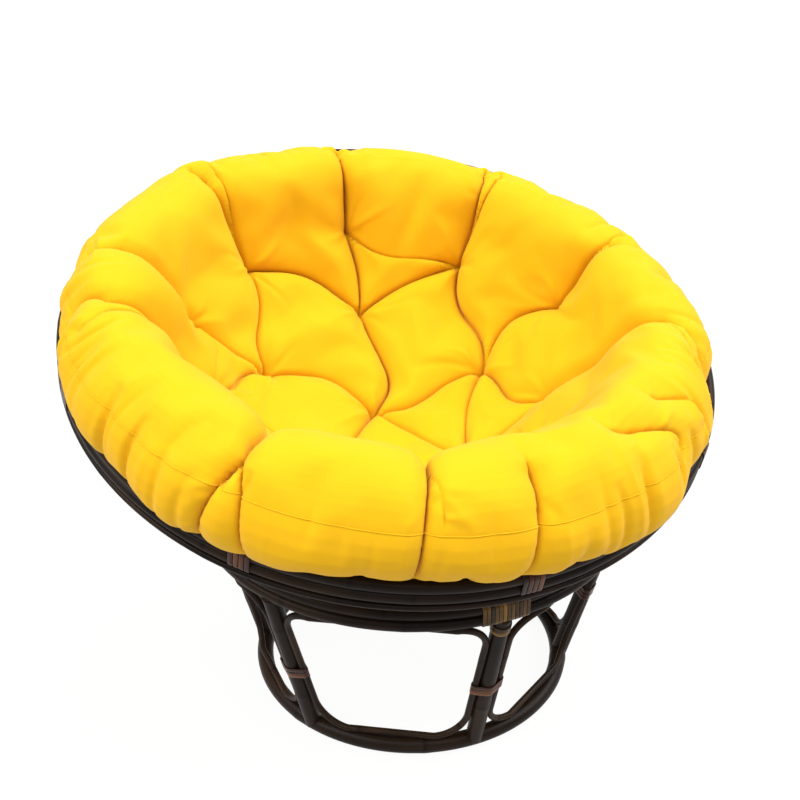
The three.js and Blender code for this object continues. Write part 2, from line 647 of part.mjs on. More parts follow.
// The filling is the whole cushion, moved inward to clear its cover
function fillingGeometry(surface) {
  const depth = COVER_THICKNESS + SEAT_GAP;
  const moved = surface.points.map((p, i) => sum([p, 1], [surface.normals[i], -depth]));
  const seam = lastRowStart(faceRows.length);
  const kept = moved.filter((_, i) => i < seam || i >= seam + CUSHION_COLUMNS);
  const rowCount = faceRows.length + underRows.length - 1;
  return geometryOf(kept, closedSkin(rowCount, kept.length - 1));
}

function cushionGroup() {
  const surface = cushionSurface();
  const face = panelGeometry(surface, 0, faceRows.length, true);
  const under = panelGeometry(surface, faceRows.length, underRows.length, false);
  const group = new THREE.Group();
  group.add(named('cushion_cover_face', face, yellowTwill));
  group.add(named('cushion_cover_underside', under, yellowTwill));
  group.add(named('cushion_filling', fillingGeometry(surface), whiteFibre));
  return group;
}

// The chair: the bowl and cushion lie in the base, turned about the middle of the bowl's sphere
function chair() {
  const group = new THREE.Group();
  const tilted = new THREE.Group();
  tilted.position.z = bowlCentreHeight;
  tilted.rotation.x = rad(BOWL_TILT);
  tilted.add(bowlGroup(), cushionGroup());
  group.add(baseGroup(), tilted);
  group.updateMatrixWorld(true);
  const middle = new THREE.Box3().setFromObject(group, true).getCenter(new THREE.Vector3());
  group.position.set(-middle.x, -middle.y, 0);
  const tiltCentre = [-middle.x, -middle.y, bowlCentreHeight].map((v) => v.toFixed(3));
  console.log(`tilt centre at ${tiltCentre.join(', ')} mm`);
  return group;
}

export default chair();
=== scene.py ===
"""Papasan chair: a stained rattan base, a rattan bowl at a slant and a yellow tufted cushion.

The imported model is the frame. The poles, bindings and cushion are rebuilt here as smooth rattan, peel
and cloth, in the frame's own places. Sizes are in millimetres and angles in degrees, and an azimuth is
counted from the bowl's low lip (-Y) towards +X.
"""

import json
import logging
import math
from collections.abc import Callable, Sequence
from dataclasses import dataclass, field
from enum import Enum

import bpy
import numpy as np
from mathutils import Matrix, Vector


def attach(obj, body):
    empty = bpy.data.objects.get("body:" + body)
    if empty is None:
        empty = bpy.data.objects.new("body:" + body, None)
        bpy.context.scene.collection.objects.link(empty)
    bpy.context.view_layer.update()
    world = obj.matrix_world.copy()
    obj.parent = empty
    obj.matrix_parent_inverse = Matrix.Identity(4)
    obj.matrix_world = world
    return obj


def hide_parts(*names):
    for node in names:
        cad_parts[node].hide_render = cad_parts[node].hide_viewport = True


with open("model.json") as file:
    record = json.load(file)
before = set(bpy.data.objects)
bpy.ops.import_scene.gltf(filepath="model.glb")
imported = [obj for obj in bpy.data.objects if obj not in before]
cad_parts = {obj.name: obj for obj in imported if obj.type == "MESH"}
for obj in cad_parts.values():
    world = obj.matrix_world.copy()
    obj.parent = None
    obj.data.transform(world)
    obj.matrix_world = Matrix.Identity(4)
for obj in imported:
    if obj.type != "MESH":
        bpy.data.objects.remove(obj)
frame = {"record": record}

log = logging.getLogger("papasan")

MM = 0.001
# Pieces that touch in the real chair stand this far apart
SEAT_GAP = 0.3
CIRCLE_POINTS = 720
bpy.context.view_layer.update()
# The wave texture passes through this many radians in one unit
WAVE_RADIANS = 20.0


class Body(Enum):
    """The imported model's moving bodies."""

    BASE = "base"
    BOWL = "bowl"
    CUSHION = "cushion"


class Slot(Enum):
    """The record's material slots."""

    DARK_RATTAN = "dark_rattan"
    THIN_RATTAN = "thin_rattan"
    RATTAN_PEEL = "rattan_peel"
    YELLOW_TWILL = "yellow_twill"


def hinge_centre() -> np.ndarray:
    """Returns the bowl's tilt centre, which is the middle of its sphere, in millimetres."""
    joint = next(j for j in frame["record"]["behaviour"]["joints"] if j["type"] == "hinge")
    return np.array(joint["pos_m"]) / MM


TILT_CENTRE = hinge_centre()
BASE_AXIS = np.array([0.0, TILT_CENTRE[1], 0.0])
UP = np.array([0.0, 0.0, 1.0])


# Directions and shapes of curves


def outward(azimuth: np.ndarray | float) -> np.ndarray:
    """Returns the level unit vectors that point out at the azimuths."""
    angle = np.radians(azimuth)
    return np.stack([np.sin(angle), -np.cos(angle), np.zeros_like(angle)], axis=-1)


def sideways(azimuth: np.ndarray | float) -> np.ndarray:
    """Returns the level unit vectors along growing azimuth."""
    angle = np.radians(azimuth)
    return np.stack([np.cos(angle), np.sin(angle), np.zeros_like(angle)], axis=-1)


def unit(vectors: np.ndarray) -> np.ndarray:
    """Returns the vectors at length one."""
    return vectors / np.linalg.norm(vectors, axis=-1, keepdims=True)


def mix(low: np.ndarray | float, high: np.ndarray | float,
        share: np.ndarray | float) -> np.ndarray | float:
    """Returns the value a share of the way from low to high."""
    return low + (high - low) * share


def smoothstep(low: float, high: float, value: np.ndarray) -> np.ndarray:
    """Returns 0 below low, 1 above high and an even S curve between them."""
    share = np.clip((value - low) / (high - low), 0.0, 1.0)
    return share * share * (3.0 - 2.0 * share)


def resampled(path: np.ndarray, step: float, closed: bool) -> np.ndarray:
    """Spaces a path's points evenly.

    Args:
        path: The points, one a row.
        step: The wanted spacing.
        closed: Whether the path joins its own start.

    Returns:
        The evenly spaced points.
    """
    points = np.vstack([path, path[:1]]) if closed else path
    lengths = np.concatenate([[0.0], np.cumsum(np.linalg.norm(np.diff(points, axis=0), axis=1))])
    count = max(3, int(round(lengths[-1] / step)))
    stops = np.linspace(0.0, lengths[-1], count + 1)
    if closed:
        stops = stops[:-1]
    return np.stack([np.interp(stops, lengths, points[:, k]) for k in range(3)], axis=1)


# Colours and shader nodes


def linear(colour: str) -> tuple[float, float, float, float]:
    """Turns an sRGB hex colour into a linear one with full alpha."""
    channels = [int(colour[k:k + 2], 16) / 255 for k in (1, 3, 5)]
    return (*[c / 12.92 if c <= 0.04045 else ((c + 0.055) / 1.055) ** 2.4 for c in channels], 1.0)


def add_node(tree: bpy.types.NodeTree, kind: str, settings: dict | None = None,
             **sockets: object) -> bpy.types.Node:
    """Adds a shader node with its settings and links.

    Args:
        tree: The material's node tree.
        kind: The node's type name.
        settings: The node's own properties.
        **sockets: Input values or output sockets to link, by the input's name with _ for a space, or
            by i and the input's number.

    Returns:
        The new node.
    """
    node = tree.nodes.new(kind)
    for name, value in (settings or {}).items():
        setattr(node, name, value)
    for name, value in sockets.items():
        key = int(name[1:]) if name[0] == "i" and name[1:].isdigit() else name.replace("_", " ")
        if isinstance(value, bpy.types.NodeSocket):
            tree.links.new(value, node.inputs[key])
        else:
            node.inputs[key].default_value = value
    return node


def ramp(tree: bpy.types.NodeTree, factor: bpy.types.NodeSocket,
         stops: Sequence[tuple[float, str]]) -> bpy.types.Node:
    """Adds a colour ramp over sRGB hex stops, through add_node."""
    node = add_node(tree, "ShaderNodeValToRGB", Fac=factor)
    marks = node.color_ramp.elements
    while len(marks) < len(stops):
        marks.new(0.5)
    for mark, (place, colour) in zip(marks, stops):
        mark.position = place
        mark.color = linear(colour)
    return node


def new_material(name: str,
                 **values: object) -> tuple[bpy.types.Material, bpy.types.NodeTree, bpy.types.Node]:
    """Makes a material with one shader.

    Args:
        name: The material's name.
        **values: Values of the shader's own sockets, by their names with _ for a space.

    Returns:
        The material, its node tree and its shader.
    """
    material = bpy.data.materials.new(name)
    material.use_nodes = True
    shader = material.node_tree.nodes["Principled BSDF"]
    for socket, value in values.items():
        shader.inputs[socket.replace("_", " ")].default_value = value
    return material, material.node_tree, shader


# Finishes


@dataclass(frozen=True)
class StainedRattan:
    """Peeled rattan cane with a dark espresso stain and a satin lacquer.

    The lacquer gives long soft highlights along a pole. The stain lies darker in the growth rings and
    lets a warmer brown through where the grain took less of it.
    """

    name: str = "stained_rattan"
    dark: str = "#0f0a07"
    middle: str = "#1e150f"
    warm: str = "#362415"
    roughness: float = 0.4
    ior: float = 1.5
    specular: float = 0.08
    coat: float = 0.02
    coat_roughness: float = 0.22
    grain_width: float = 1.8
    grain_length: float = 60.0
    grain_share: float = 0.45
    grain_depth: float = 0.4
    patch_length: float = 160.0
    patch_share: float = 0.75
    patch_offset: float = -0.12

    def build(self) -> bpy.types.Material:
        """Builds the material and returns it."""
        material, tree, shader = new_material(
            self.name, IOR=self.ior, Specular_IOR_Level=self.specular, Coat_Weight=self.coat,
            Coat_Roughness=self.coat_roughness)
        grain = add_node(tree, "ShaderNodeAttribute", {"attribute_name": "grain"})
        fine = add_node(tree, "ShaderNodeMapping", Vector=grain.outputs["Vector"],
                        Scale=(1.0, 1.0, self.grain_width / self.grain_length))
        streak = add_node(tree, "ShaderNodeTexNoise", Vector=fine.outputs["Vector"],
                          Scale=1.0 / (self.grain_width * MM), Detail=3.0, Roughness=0.6)
        patch = add_node(tree, "ShaderNodeTexNoise", Vector=grain.outputs["Vector"],
                         Scale=1.0 / (self.patch_length * MM), Detail=2.0)
        both = add_node(tree, "ShaderNodeMath", {"operation": "MULTIPLY_ADD"},
                        i0=patch.outputs["Fac"], i1=self.patch_share, i2=self.patch_offset)
        shade = add_node(tree, "ShaderNodeMath", {"operation": "MULTIPLY_ADD"},
                         i0=streak.outputs["Fac"], i1=self.grain_share, i2=both.outputs["Value"])
        stops = ((0.25, self.dark), (0.5, self.middle), (0.78, self.warm))
        colour = ramp(tree, shade.outputs["Value"], stops)
        joint = add_node(tree, "ShaderNodeAttribute", {"attribute_name": "joint"})
        ringed = add_node(tree, "ShaderNodeMix", {"data_type": "RGBA"}, Factor=joint.outputs["Fac"],
                          i6=colour.outputs["Color"], i7=linear(self.dark))
        gloss = add_node(tree, "ShaderNodeMapRange", Value=streak.outputs["Fac"],
                         To_Min=self.roughness - 0.08, To_Max=self.roughness + 0.12)
        bump = add_node(tree, "ShaderNodeBump", Height=streak.outputs["Fac"], Strength=0.18,
                        Distance=self.grain_depth * MM)
        tree.links.new(ringed.outputs["Result"], shader.inputs["Base Color"])
        tree.links.new(gloss.outputs["Result"], shader.inputs["Roughness"])
        tree.links.new(bump.outputs["Normal"], shader.inputs["Normal"])
        return material


@dataclass(frozen=True)
class RattanPeel:
    """Split rattan skin, wound wet and lacquered.

    The hard skin is glossier than the poles, and the stain takes unevenly on it, so that turns differ
    from golden to red-brown.
    """

    name: str = "rattan_peel"
    dark: str = "#180d08"
    middle: str = "#371c10"
    light: str = "#6a3f1f"
    roughness: float = 0.3
    ior: float = 1.5
    specular: float = 0.14
    coat: float = 0.08
    coat_roughness: float = 0.12
    strand_width: float = 0.9
    strand_length: float = 45.0
    strand_share: float = 0.35
    strand_depth: float = 0.3
    turn_share: float = 1.3
    turn_offset: float = -0.32

    def build(self) -> bpy.types.Material:
        """Builds the material and returns it."""
        material, tree, shader = new_material(
            self.name, Roughness=self.roughness, IOR=self.ior, Specular_IOR_Level=self.specular,
            Coat_Weight=self.coat, Coat_Roughness=self.coat_roughness)
        grain = add_node(tree, "ShaderNodeAttribute", {"attribute_name": "grain"})
        fine = add_node(tree, "ShaderNodeMapping", Vector=grain.outputs["Vector"],
                        Scale=(1.0, 1.0, self.strand_width / self.strand_length))
        strand = add_node(tree, "ShaderNodeTexNoise", Vector=fine.outputs["Vector"],
                          Scale=1.0 / (self.strand_width * MM), Detail=2.0)
        turn = add_node(tree, "ShaderNodeTexNoise", Vector=grain.outputs["Vector"],
                        Scale=1.0 / (2.0 * self.strand_length * MM), Detail=1.0)
        base = add_node(tree, "ShaderNodeMath", {"operation": "MULTIPLY_ADD"},
                        i0=turn.outputs["Fac"], i1=self.turn_share, i2=self.turn_offset)
        shade = add_node(tree, "ShaderNodeMath", {"operation": "MULTIPLY_ADD"},
                         i0=strand.outputs["Fac"], i1=self.strand_share, i2=base.outputs["Value"])
        stops = ((0.2, self.dark), (0.5, self.middle), (0.85, self.light))
        colour = ramp(tree, shade.outputs["Value"], stops)
        bump = add_node(tree, "ShaderNodeBump", Height=strand.outputs["Fac"], Strength=0.25,
                        Distance=self.strand_depth * MM)
        tree.links.new(colour.outputs["Color"], shader.inputs["Base Color"])
        tree.links.new(bump.outputs["Normal"], shader.inputs["Normal"])
        return material


@dataclass(frozen=True)
class CottonTwill:
    """Dyed cotton twill, woven and brushed soft.

    The weave scatters light evenly with a faint sheen at grazing angles, so that puffs look matt and
    creases turn a deeper orange by light that bounces between yellow faces.
    """

    name: str = "yellow_cotton_twill"
    colour: str = "#d9a70c"
    deep: str = "#d39e09"
    roughness: float = 0.85
    specular: float = 0.15
    sheen: float = 0.06
    sheen_roughness: float = 0.45
    wale_spacing: float = 2.4
    wale_depth: float = 0.15
    patch_size: float = 90.0

    def build(self) -> bpy.types.Material:
        """Builds the material and returns it."""
        material, tree, shader = new_material(
            self.name, Roughness=self.roughness, Specular_IOR_Level=self.specular,
            Sheen_Weight=self.sheen, Sheen_Roughness=self.sheen_roughness)
        place = add_node(tree, "ShaderNodeAttribute", {"attribute_name": "weave"})
        # A real wale is 0.6 mm, which is too fine to show, so it is drawn four times as coarse
        wale = add_node(tree, "ShaderNodeTexWave", {"wave_type": "BANDS", "bands_direction": "DIAGONAL"},
                        Vector=place.outputs["Vector"],
                        Scale=1.0 / (WAVE_RADIANS * self.wale_spacing * MM) * math.pi,
                        Distortion=0.6, Detail=1.0, Detail_Scale=3.0)
        patch = add_node(tree, "ShaderNodeTexNoise", Vector=place.outputs["Vector"],
                         Scale=1.0 / (self.patch_size * MM), Detail=3.0)
        mixed = add_node(tree, "ShaderNodeMix", {"data_type": "RGBA"}, Factor=patch.outputs["Fac"],
                         i6=linear(self.colour), i7=linear(self.deep))
        bump = add_node(tree, "ShaderNodeBump", Height=wale.outputs["Fac"], Strength=0.06,
                        Distance=self.wale_depth * MM)
        tree.links.new(mixed.outputs["Result"], shader.inputs["Base Color"])
        tree.links.new(bump.outputs["Normal"], shader.inputs["Normal"])
        return material


@dataclass(frozen=True)
class OpalAcrylic:
    """Matt opal acrylic, lit from below as on a product table, which leaves only a faint shadow."""

    name: str = "opal_acrylic"
    colour: str = "#3a3a38"
    roughness: float = 0.9
    specular: float = 0.1
    light: str = "#ffffff"
    glow: float = 0.94

    def build(self) -> bpy.types.Material:
        """Builds the material and returns it."""
        material, _, _ = new_material(
            self.name, Base_Color=linear(self.colour), Roughness=self.roughness,
            Specular_IOR_Level=self.specular, Emission_Color=linear(self.light),
            Emission_Strength=self.glow)
        return material


# Meshes


def mesh_object(name: str, points: np.ndarray, faces: Sequence[Sequence[int]],
                material: bpy.types.Material,
                attributes: dict[str, np.ndarray] | None = None) -> bpy.types.Object:
    """Makes a smooth mesh object from points in millimetres.

    Args:
        name: The piece's name.
        points: The vertices, one a row.
        faces: The faces' vertex numbers.
        material: The piece's finish.
        attributes: Values for each vertex by name, as numbers or vectors.

    Returns:
        The new object.
    """
    mesh = bpy.data.meshes.new(name)
    mesh.from_pydata((points * MM).tolist(), [], [list(map(int, face)) for face in faces])
    mesh.polygons.foreach_set("use_smooth", [True] * len(mesh.polygons))
    for key, values in (attributes or {}).items():
        kind, slot = ("FLOAT", "value") if values.ndim == 1 else ("FLOAT_VECTOR", "vector")
        layer = mesh.attributes.new(key, kind, "POINT")
        layer.data.foreach_set(slot, values.astype(np.float32).ravel())
    mesh.materials.append(material)
    mesh.update()
    piece = bpy.data.objects.new(name, mesh)
    bpy.context.scene.collection.objects.link(piece)
    return piece


def stand_in(piece: bpy.types.Object, body: Body) -> None:
    """Makes a piece stand for its CAD node, whose name follows seen_ in its own."""
    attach(piece, body.value)
    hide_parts(piece.name.removeprefix("seen_"))


def add_piece(piece: bpy.types.Object, body: Body) -> None:
    """Makes a piece ride on a body without a CAD node of its own."""
    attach(piece, body.value)


@dataclass
class Section:
    """One cross-section of a swept piece: its points across and up."""

    across: np.ndarray
    up: np.ndarray

    @staticmethod
    def round(radius: float, sides: int = 20) -> "Section":
        """Returns a circle."""
        angle = 2.0 * np.pi * np.arange(sides) / sides
        return Section(radius * np.cos(angle), radius * np.sin(angle))

    @staticmethod
    def strap(width: float, thickness: float) -> "Section":
        """Returns a flat strap with rounded edges and a slightly crowned top."""
        half, low, high = width / 2, -thickness / 2, thickness / 2
        across = np.array([-0.86, 0.0, 0.86, 1.0, 1.0, 0.8, 0.3, -0.3, -0.8, -1.0, -1.0]) * half
        edge = [low * 0.5, high * 0.2, high * 0.82, high]
        up = np.array([low, low, low] + edge + edge[::-1])
        return Section(across, up)


def swept(name: str, path: np.ndarray, rises: np.ndarray, section: Section, closed: bool,
          material: bpy.types.Material, swell: np.ndarray | None = None,
          joints: np.ndarray | None = None) -> bpy.types.Object:
    """Sweeps a section along a path.

    Args:
        name: The piece's name.
        path: The stations' places.
        rises: The section's up direction at each station.
        section: The section to sweep.
        closed: Whether the path joins its own start.
        material: The piece's finish.
        swell: A factor on the section's size at each station.
        joints: How much of a growth ring each station shows, from 0 to 1.

    Returns:
        The swept piece, capped where it is open.
    """
    count, sides = len(path), len(section.across)
    if closed:
        ahead = np.roll(path, -1, axis=0) - np.roll(path, 1, axis=0)
    else:
        ahead = np.gradient(path, axis=0)
    ahead = unit(ahead)
    side = unit(np.cross(rises, ahead))
    rise = np.cross(ahead, side)
    size = np.ones(count) if swell is None else swell
    ring = section.across[None, :, None] * side[:, None] + section.up[None, :, None] * rise[:, None]
    points = (path[:, None] + ring * size[:, None, None]).reshape(-1, 3)
    lengths = np.concatenate([[0.0], np.cumsum(np.linalg.norm(np.diff(path, axis=0), axis=1))])
    grain = np.stack([
        np.broadcast_to(section.across, (count, sides)),
        np.broadcast_to(section.up, (count, sides)),
        np.broadcast_to(lengths[:, None], (count, sides)),
    ], axis=-1).reshape(-1, 3) * MM
    # Each piece shows its own stretch of grain
    grain = grain + (sum(map(ord, name)) % 97) * 0.37
    index = np.arange(count * sides).reshape(count, sides)
    spans = count if closed else count - 1
    here, there = index[:spans], np.roll(index, -1, axis=0)[:spans]
    corners = [here, np.roll(here, -1, axis=1), np.roll(there, -1, axis=1), there]
    faces: list[Sequence[int]] = np.stack(corners, axis=-1).reshape(-1, 4).tolist()
    if not closed:
        faces += [index[0][::-1].tolist(), index[-1].tolist()]
    ringed = np.zeros(count) if joints is None else joints
    attributes = {"grain": grain, "joint": np.repeat(ringed, sides)}
    return mesh_object(name, points, faces, material, attributes)


@dataclass
class Pole:
    """A round rattan pole with growth rings.

    Attributes:
        radius: The pole's radius.
        ring_spacing: The usual distance between growth rings.
        step: The distance between stations along the pole.
        first_ring: Where the first ring may lie, as shares of the usual distance.
        ring_scatter: How far a ring may lie from its even place, as a share of the usual distance.
        ring_swell: How much thicker the pole is at a ring, as a share of its radius.
        swell_reach: How far a ring's swelling reaches along the pole.
        mark_reach: How far a ring's dark line reaches along the pole.
    """

    radius: float
    ring_spacing: float = 210.0
    step: float = 5.0
    first_ring: tuple[float, float] = (0.2, 0.8)
    ring_scatter: float = 0.25
    ring_swell: float = 0.035
    swell_reach: float = 9.0
    mark_reach: float = 3.5

    def build(self, name: str, path: np.ndarray, rises: Callable[[np.ndarray], np.ndarray] | np.ndarray,
              closed: bool, material: bpy.types.Material) -> bpy.types.Object:
        """Builds the pole along a path.

        Args:
            name: The piece's name, which also seeds its growth rings.
            path: The pole's middle line.
            rises: One up direction, or a function that gives one for each place.
            closed: Whether the pole joins its own start.
            material: The pole's finish.

        Returns:
            The pole.
        """
        line = resampled(path, self.step, closed)
        ups = rises(line) if callable(rises) else np.broadcast_to(rises, line.shape)
        length = self.step * len(line)
        random = np.random.default_rng(sum(map(ord, name)))
        first = random.uniform(*self.first_ring) * self.ring_spacing
        places = np.arange(first, length, self.ring_spacing)
        scatter = random.uniform(-self.ring_scatter, self.ring_scatter, len(places))
        places = places + scatter * self.ring_spacing
        along = np.arange(len(line)) * self.step
        swell = np.ones(len(line))
        rings = np.zeros(len(line))
        for place in places:
            swell += self.ring_swell * np.exp(-((along - place) / self.swell_reach) ** 2)
            rings = np.maximum(rings, np.exp(-((along - place) / self.mark_reach) ** 2))
        return swept(name, line, ups, Section.round(self.radius), closed, material, swell, rings)


@dataclass
class Winding:
    """A peel strap wound round one or more poles.

    Attributes:
        turns: How many times the strap goes round.
        pitch: The distance between turns.
        width: The strap's width.
        thickness: The strap's thickness.
        steps: The stations in one turn.
        least_step: Stations that lie closer together than this are left out.
    """

    turns: float
    pitch: float
    width: float
    thickness: float = 1.5
    steps: int = 64
    least_step: float = 0.05

    def build(self, name: str, circles: Sequence[tuple[float, float, float]],
              place: Callable[[float], tuple[np.ndarray, np.ndarray, np.ndarray]],
              material: bpy.types.Material) -> bpy.types.Object:
        """Winds the strap round the hull of the poles that it holds.

        Args:
            name: The piece's name.
            circles: The poles' sections as x, y and radius.
            place: Gives the core's origin, x and y directions at a distance along it.
            material: The strap's finish.

        Returns:
            The winding.
        """
        count = int(self.turns * self.steps)
        path, rises = [], []
        for i in range(count + 1):
            turn = i / self.steps
            angle = 2.0 * math.pi * turn
            normal = (math.cos(angle), math.sin(angle))
            cx, cy, radius = max(circles, key=lambda c: c[0] * normal[0] + c[1] * normal[1] + c[2])
            reach = radius + SEAT_GAP + self.thickness / 2
            origin, x, y = place((turn - self.turns / 2) * self.pitch)
            path.append(origin + x * (cx + reach * normal[0]) + y * (cy + reach * normal[1]))
            rises.append(x * normal[0] + y * normal[1])
        line = np.array(path)
        keep = np.concatenate([[True], np.linalg.norm(np.diff(line, axis=0), axis=1) > self.least_step])
        strap = Section.strap(self.width, self.thickness)
        return swept(name, line[keep], np.array(rises)[keep], strap, False, material)


# The base


@dataclass
class Base:
    """The round base: a bottom ring, a double top ring, leaning legs, thin loops and bindings.

    Attributes:
        start_azimuth: Where the rings' poles begin.
        leg_azimuths: The legs' places, of which the first is the front leg.
        leg_foot_outset: How far a leg's foot lies outside the bottom ring's middle.
        leg_top_inset: How far a leg's top lies inside the top ring's middle.
        leg_end_gap: How far below the lower top pole's middle a leg ends.
        leg_binding_share: The leg bindings' height, as a share of the way up a leg.
        collar_drop: How far the collar hangs below the splice binding.
        collar_gap: The room between the top ring's binding and the collar.
    """

    ring_pole: Pole = field(default_factory=lambda: Pole(14.0, 260.0))
    leg_pole: Pole = field(default_factory=lambda: Pole(14.0, 190.0, 4.0))
    top_pole: Pole = field(default_factory=lambda: Pole(10.0, 240.0))
    loop_pole: Pole = field(default_factory=lambda: Pole(5.5, 170.0, 3.0))
    bottom_radius: float = 260.0
    top_radius: float = 348.0
    top_height: float = 326.0
    start_azimuth: float = 150.0
    leg_azimuths: tuple[float, ...] = (-3.5, 60.0, 118.0, 178.0, 238.0, 295.5)
    leg_foot_outset: float = 2.0
    leg_top_inset: float = 1.0
    leg_end_gap: float = 4.0
    loop_foot_outset: float = 4.0
    loop_top_corner: float = 44.0
    loop_foot_corner: float = 58.0
    leg_binding: Winding = field(default_factory=lambda: Winding(3, 7.2, 6.7))
    splice_binding: Winding = field(default_factory=lambda: Winding(12, 6.3, 5.9))
    collar_binding: Winding = field(default_factory=lambda: Winding(3, 5.6, 5.2))
    leg_binding_share: float = 0.45
    collar_drop: float = 0.5
    collar_gap: float = 4.0

    @property
    def top_upper(self) -> float:
        """Returns the height of the upper top pole's middle."""
        return self.top_height + 2 * self.top_pole.radius + SEAT_GAP

    @property
    def leg_ends(self) -> tuple[tuple[float, float], tuple[float, float]]:
        """Returns radius and height of a leg's foot and top, at the middles of the rings."""
        foot = (self.bottom_radius + self.leg_foot_outset, self.ring_pole.radius)
        return foot, (self.top_radius - self.leg_top_inset, self.top_height)

    @property
    def loop_ends(self) -> tuple[tuple[float, float], tuple[float, float]]:
        """Returns radius and height of a loop's lower and upper runs."""
        thin = self.loop_pole.radius
        foot_height = 2 * self.ring_pole.radius + SEAT_GAP + thin
        top_height = self.top_height - self.top_pole.radius - SEAT_GAP - thin
        foot = (self.bottom_radius + self.loop_foot_outset, foot_height)
        return foot, (self.top_radius - self.leg_top_inset, top_height)

    def circle(self, radius: float, height: float) -> np.ndarray:
        """Returns a level circle round the base's axis."""
        azimuth = np.linspace(0.0, 360.0, CIRCLE_POINTS, endpoint=False) + self.start_azimuth
        return BASE_AXIS + outward(azimuth) * radius + UP * height

    def leg_point(self, azimuth: float, height: float) -> np.ndarray:
        """Returns the point of a leg's middle line at a height."""
        (foot_radius, foot_height), (top_radius, top_height) = self.leg_ends
        share = (height - foot_height) / (top_height - foot_height)
        radius = foot_radius + (top_radius - foot_radius) * share
        return BASE_AXIS + outward(azimuth) * radius + UP * height

    def leg_axis(self, azimuth: float) -> np.ndarray:
        """Returns a leg's unit direction upward."""
        foot = self.leg_point(azimuth, self.ring_pole.radius)
        return unit(self.leg_point(azimuth, self.top_height) - foot)

    def loop_path(self, start: float, stop: float) -> np.ndarray:
        """Returns a loop's middle line between two legs' azimuths."""
        (foot_radius, low), (top_radius, high) = self.loop_ends
        half_span = (stop - start) / 2
        clear = self.leg_pole.radius + SEAT_GAP + self.loop_pole.radius
        feet = foot_radius * math.radians(half_span) - clear
        tops = top_radius * math.radians(half_span) - clear
        corners = [(-feet, low, self.loop_foot_corner), (feet, low, self.loop_foot_corner),
                   (tops, high, self.loop_top_corner), (-tops, high, self.loop_top_corner)]
        outline = rounded_outline(corners)
        share = (outline[:, 1] - low) / (high - low)
        radius = foot_radius + (top_radius - foot_radius) * share
        azimuth = start + half_span + np.degrees(outline[:, 0] / radius)
        return BASE_AXIS + outward(azimuth) * radius[:, None] + UP * outline[:, 1:2]

    def leg_frame(self, azimuth: float, height: float) -> Callable[[float], tuple[np.ndarray, ...]]:
        """Returns a function that gives a leg's frame at a distance along it from a height."""
        axis = self.leg_axis(azimuth)
        start = self.leg_point(azimuth, height)
        x = sideways(azimuth)
        y = np.cross(axis, x)
        return lambda s: (start + axis * s, x, y)

    def leg_hull(self, height: float) -> list[tuple[float, float, float]]:
        """Returns the sections of a leg and the two loop sides beside it at a height."""
        (foot_radius, low), (top_radius, high) = self.loop_ends
        loop_radius = foot_radius + (top_radius - foot_radius) * (height - low) / (high - low)
        set_back = float(np.linalg.norm((self.leg_point(0.0, height) - BASE_AXIS)[:2])) - loop_radius
        clear = self.leg_pole.radius + SEAT_GAP + self.loop_pole.radius
        thin = self.loop_pole.radius
        return [(0.0, 0.0, self.leg_pole.radius), (-clear, set_back, thin), (clear, set_back, thin)]

    def build(self, rattan: bpy.types.Material, thin: bpy.types.Material, peel: bpy.types.Material,
              golden: bpy.types.Material) -> list[bpy.types.Object]:
        """Builds the base and returns its pieces.

        Args:
            rattan: The poles' finish.
            thin: The loops' finish.
            peel: The leg bindings' finish.
            golden: The finish of the splice binding and the collar.

        Returns:
            The base's pieces.
        """
        low, high = self.ring_pole.radius, self.top_height
        bottom = self.circle(self.bottom_radius, low)
        poles = [self.ring_pole.build("seen_base_ring_bottom", bottom, UP, True, rattan)]
        for level, height in (("lower", self.top_height), ("upper", self.top_upper)):
            circle = self.circle(self.top_radius, height)
            poles.append(self.top_pole.build(f"seen_base_ring_top_{level}", circle, UP, True, rattan))
        loops, bindings = [], []
        middle = low + self.leg_binding_share * (high - low)
        for k, azimuth in enumerate(self.leg_azimuths, start=1):
            following = self.leg_azimuths[k] if k < len(self.leg_azimuths) else self.leg_azimuths[0] + 360
            ends = np.array([self.leg_point(azimuth, height) for height in (low, high - self.leg_end_gap)])
            poles.append(self.leg_pole.build(f"seen_base_leg_{k}", ends, -outward(azimuth), False, rattan))
            loops.append(self.loop_pole.build(
                f"seen_base_loop_{k}", self.loop_path(azimuth, following),
                lambda line: unit((line - BASE_AXIS) * [1, 1, 0]), True, thin))
            bindings.append(self.leg_binding.build(
                f"seen_base_leg_binding_{k}", self.leg_hull(middle), self.leg_frame(azimuth, middle), peel))
        bindings += self.build_front_bindings(golden)
        finished = ((Slot.DARK_RATTAN, poles), (Slot.THIN_RATTAN, loops), (Slot.RATTAN_PEEL, bindings))
        for slot, pieces in finished:
            for piece in pieces:
                stand_in(piece, Body.BASE)
        return poles + loops + bindings

    def build_front_bindings(self, peel: bpy.types.Material) -> list[bpy.types.Object]:
        """Builds the top ring's splice binding at the front leg and the collar below it.

        Args:
            peel: The finish of both.

        Returns:
            The splice binding and the collar.
        """
        azimuth = self.leg_azimuths[0]
        middle = (self.top_height + self.top_upper) / 2
        offset = self.top_pole.radius + SEAT_GAP / 2
        circles = [(0.0, -offset, self.top_pole.radius), (0.0, offset, self.top_pole.radius)]

        def along_ring(s: float) -> tuple[np.ndarray, ...]:
            """Returns the ring's frame at a distance along it from the leg."""
            here = azimuth + math.degrees(s / self.top_radius)
            return BASE_AXIS + outward(here) * self.top_radius + UP * middle, -outward(here), UP

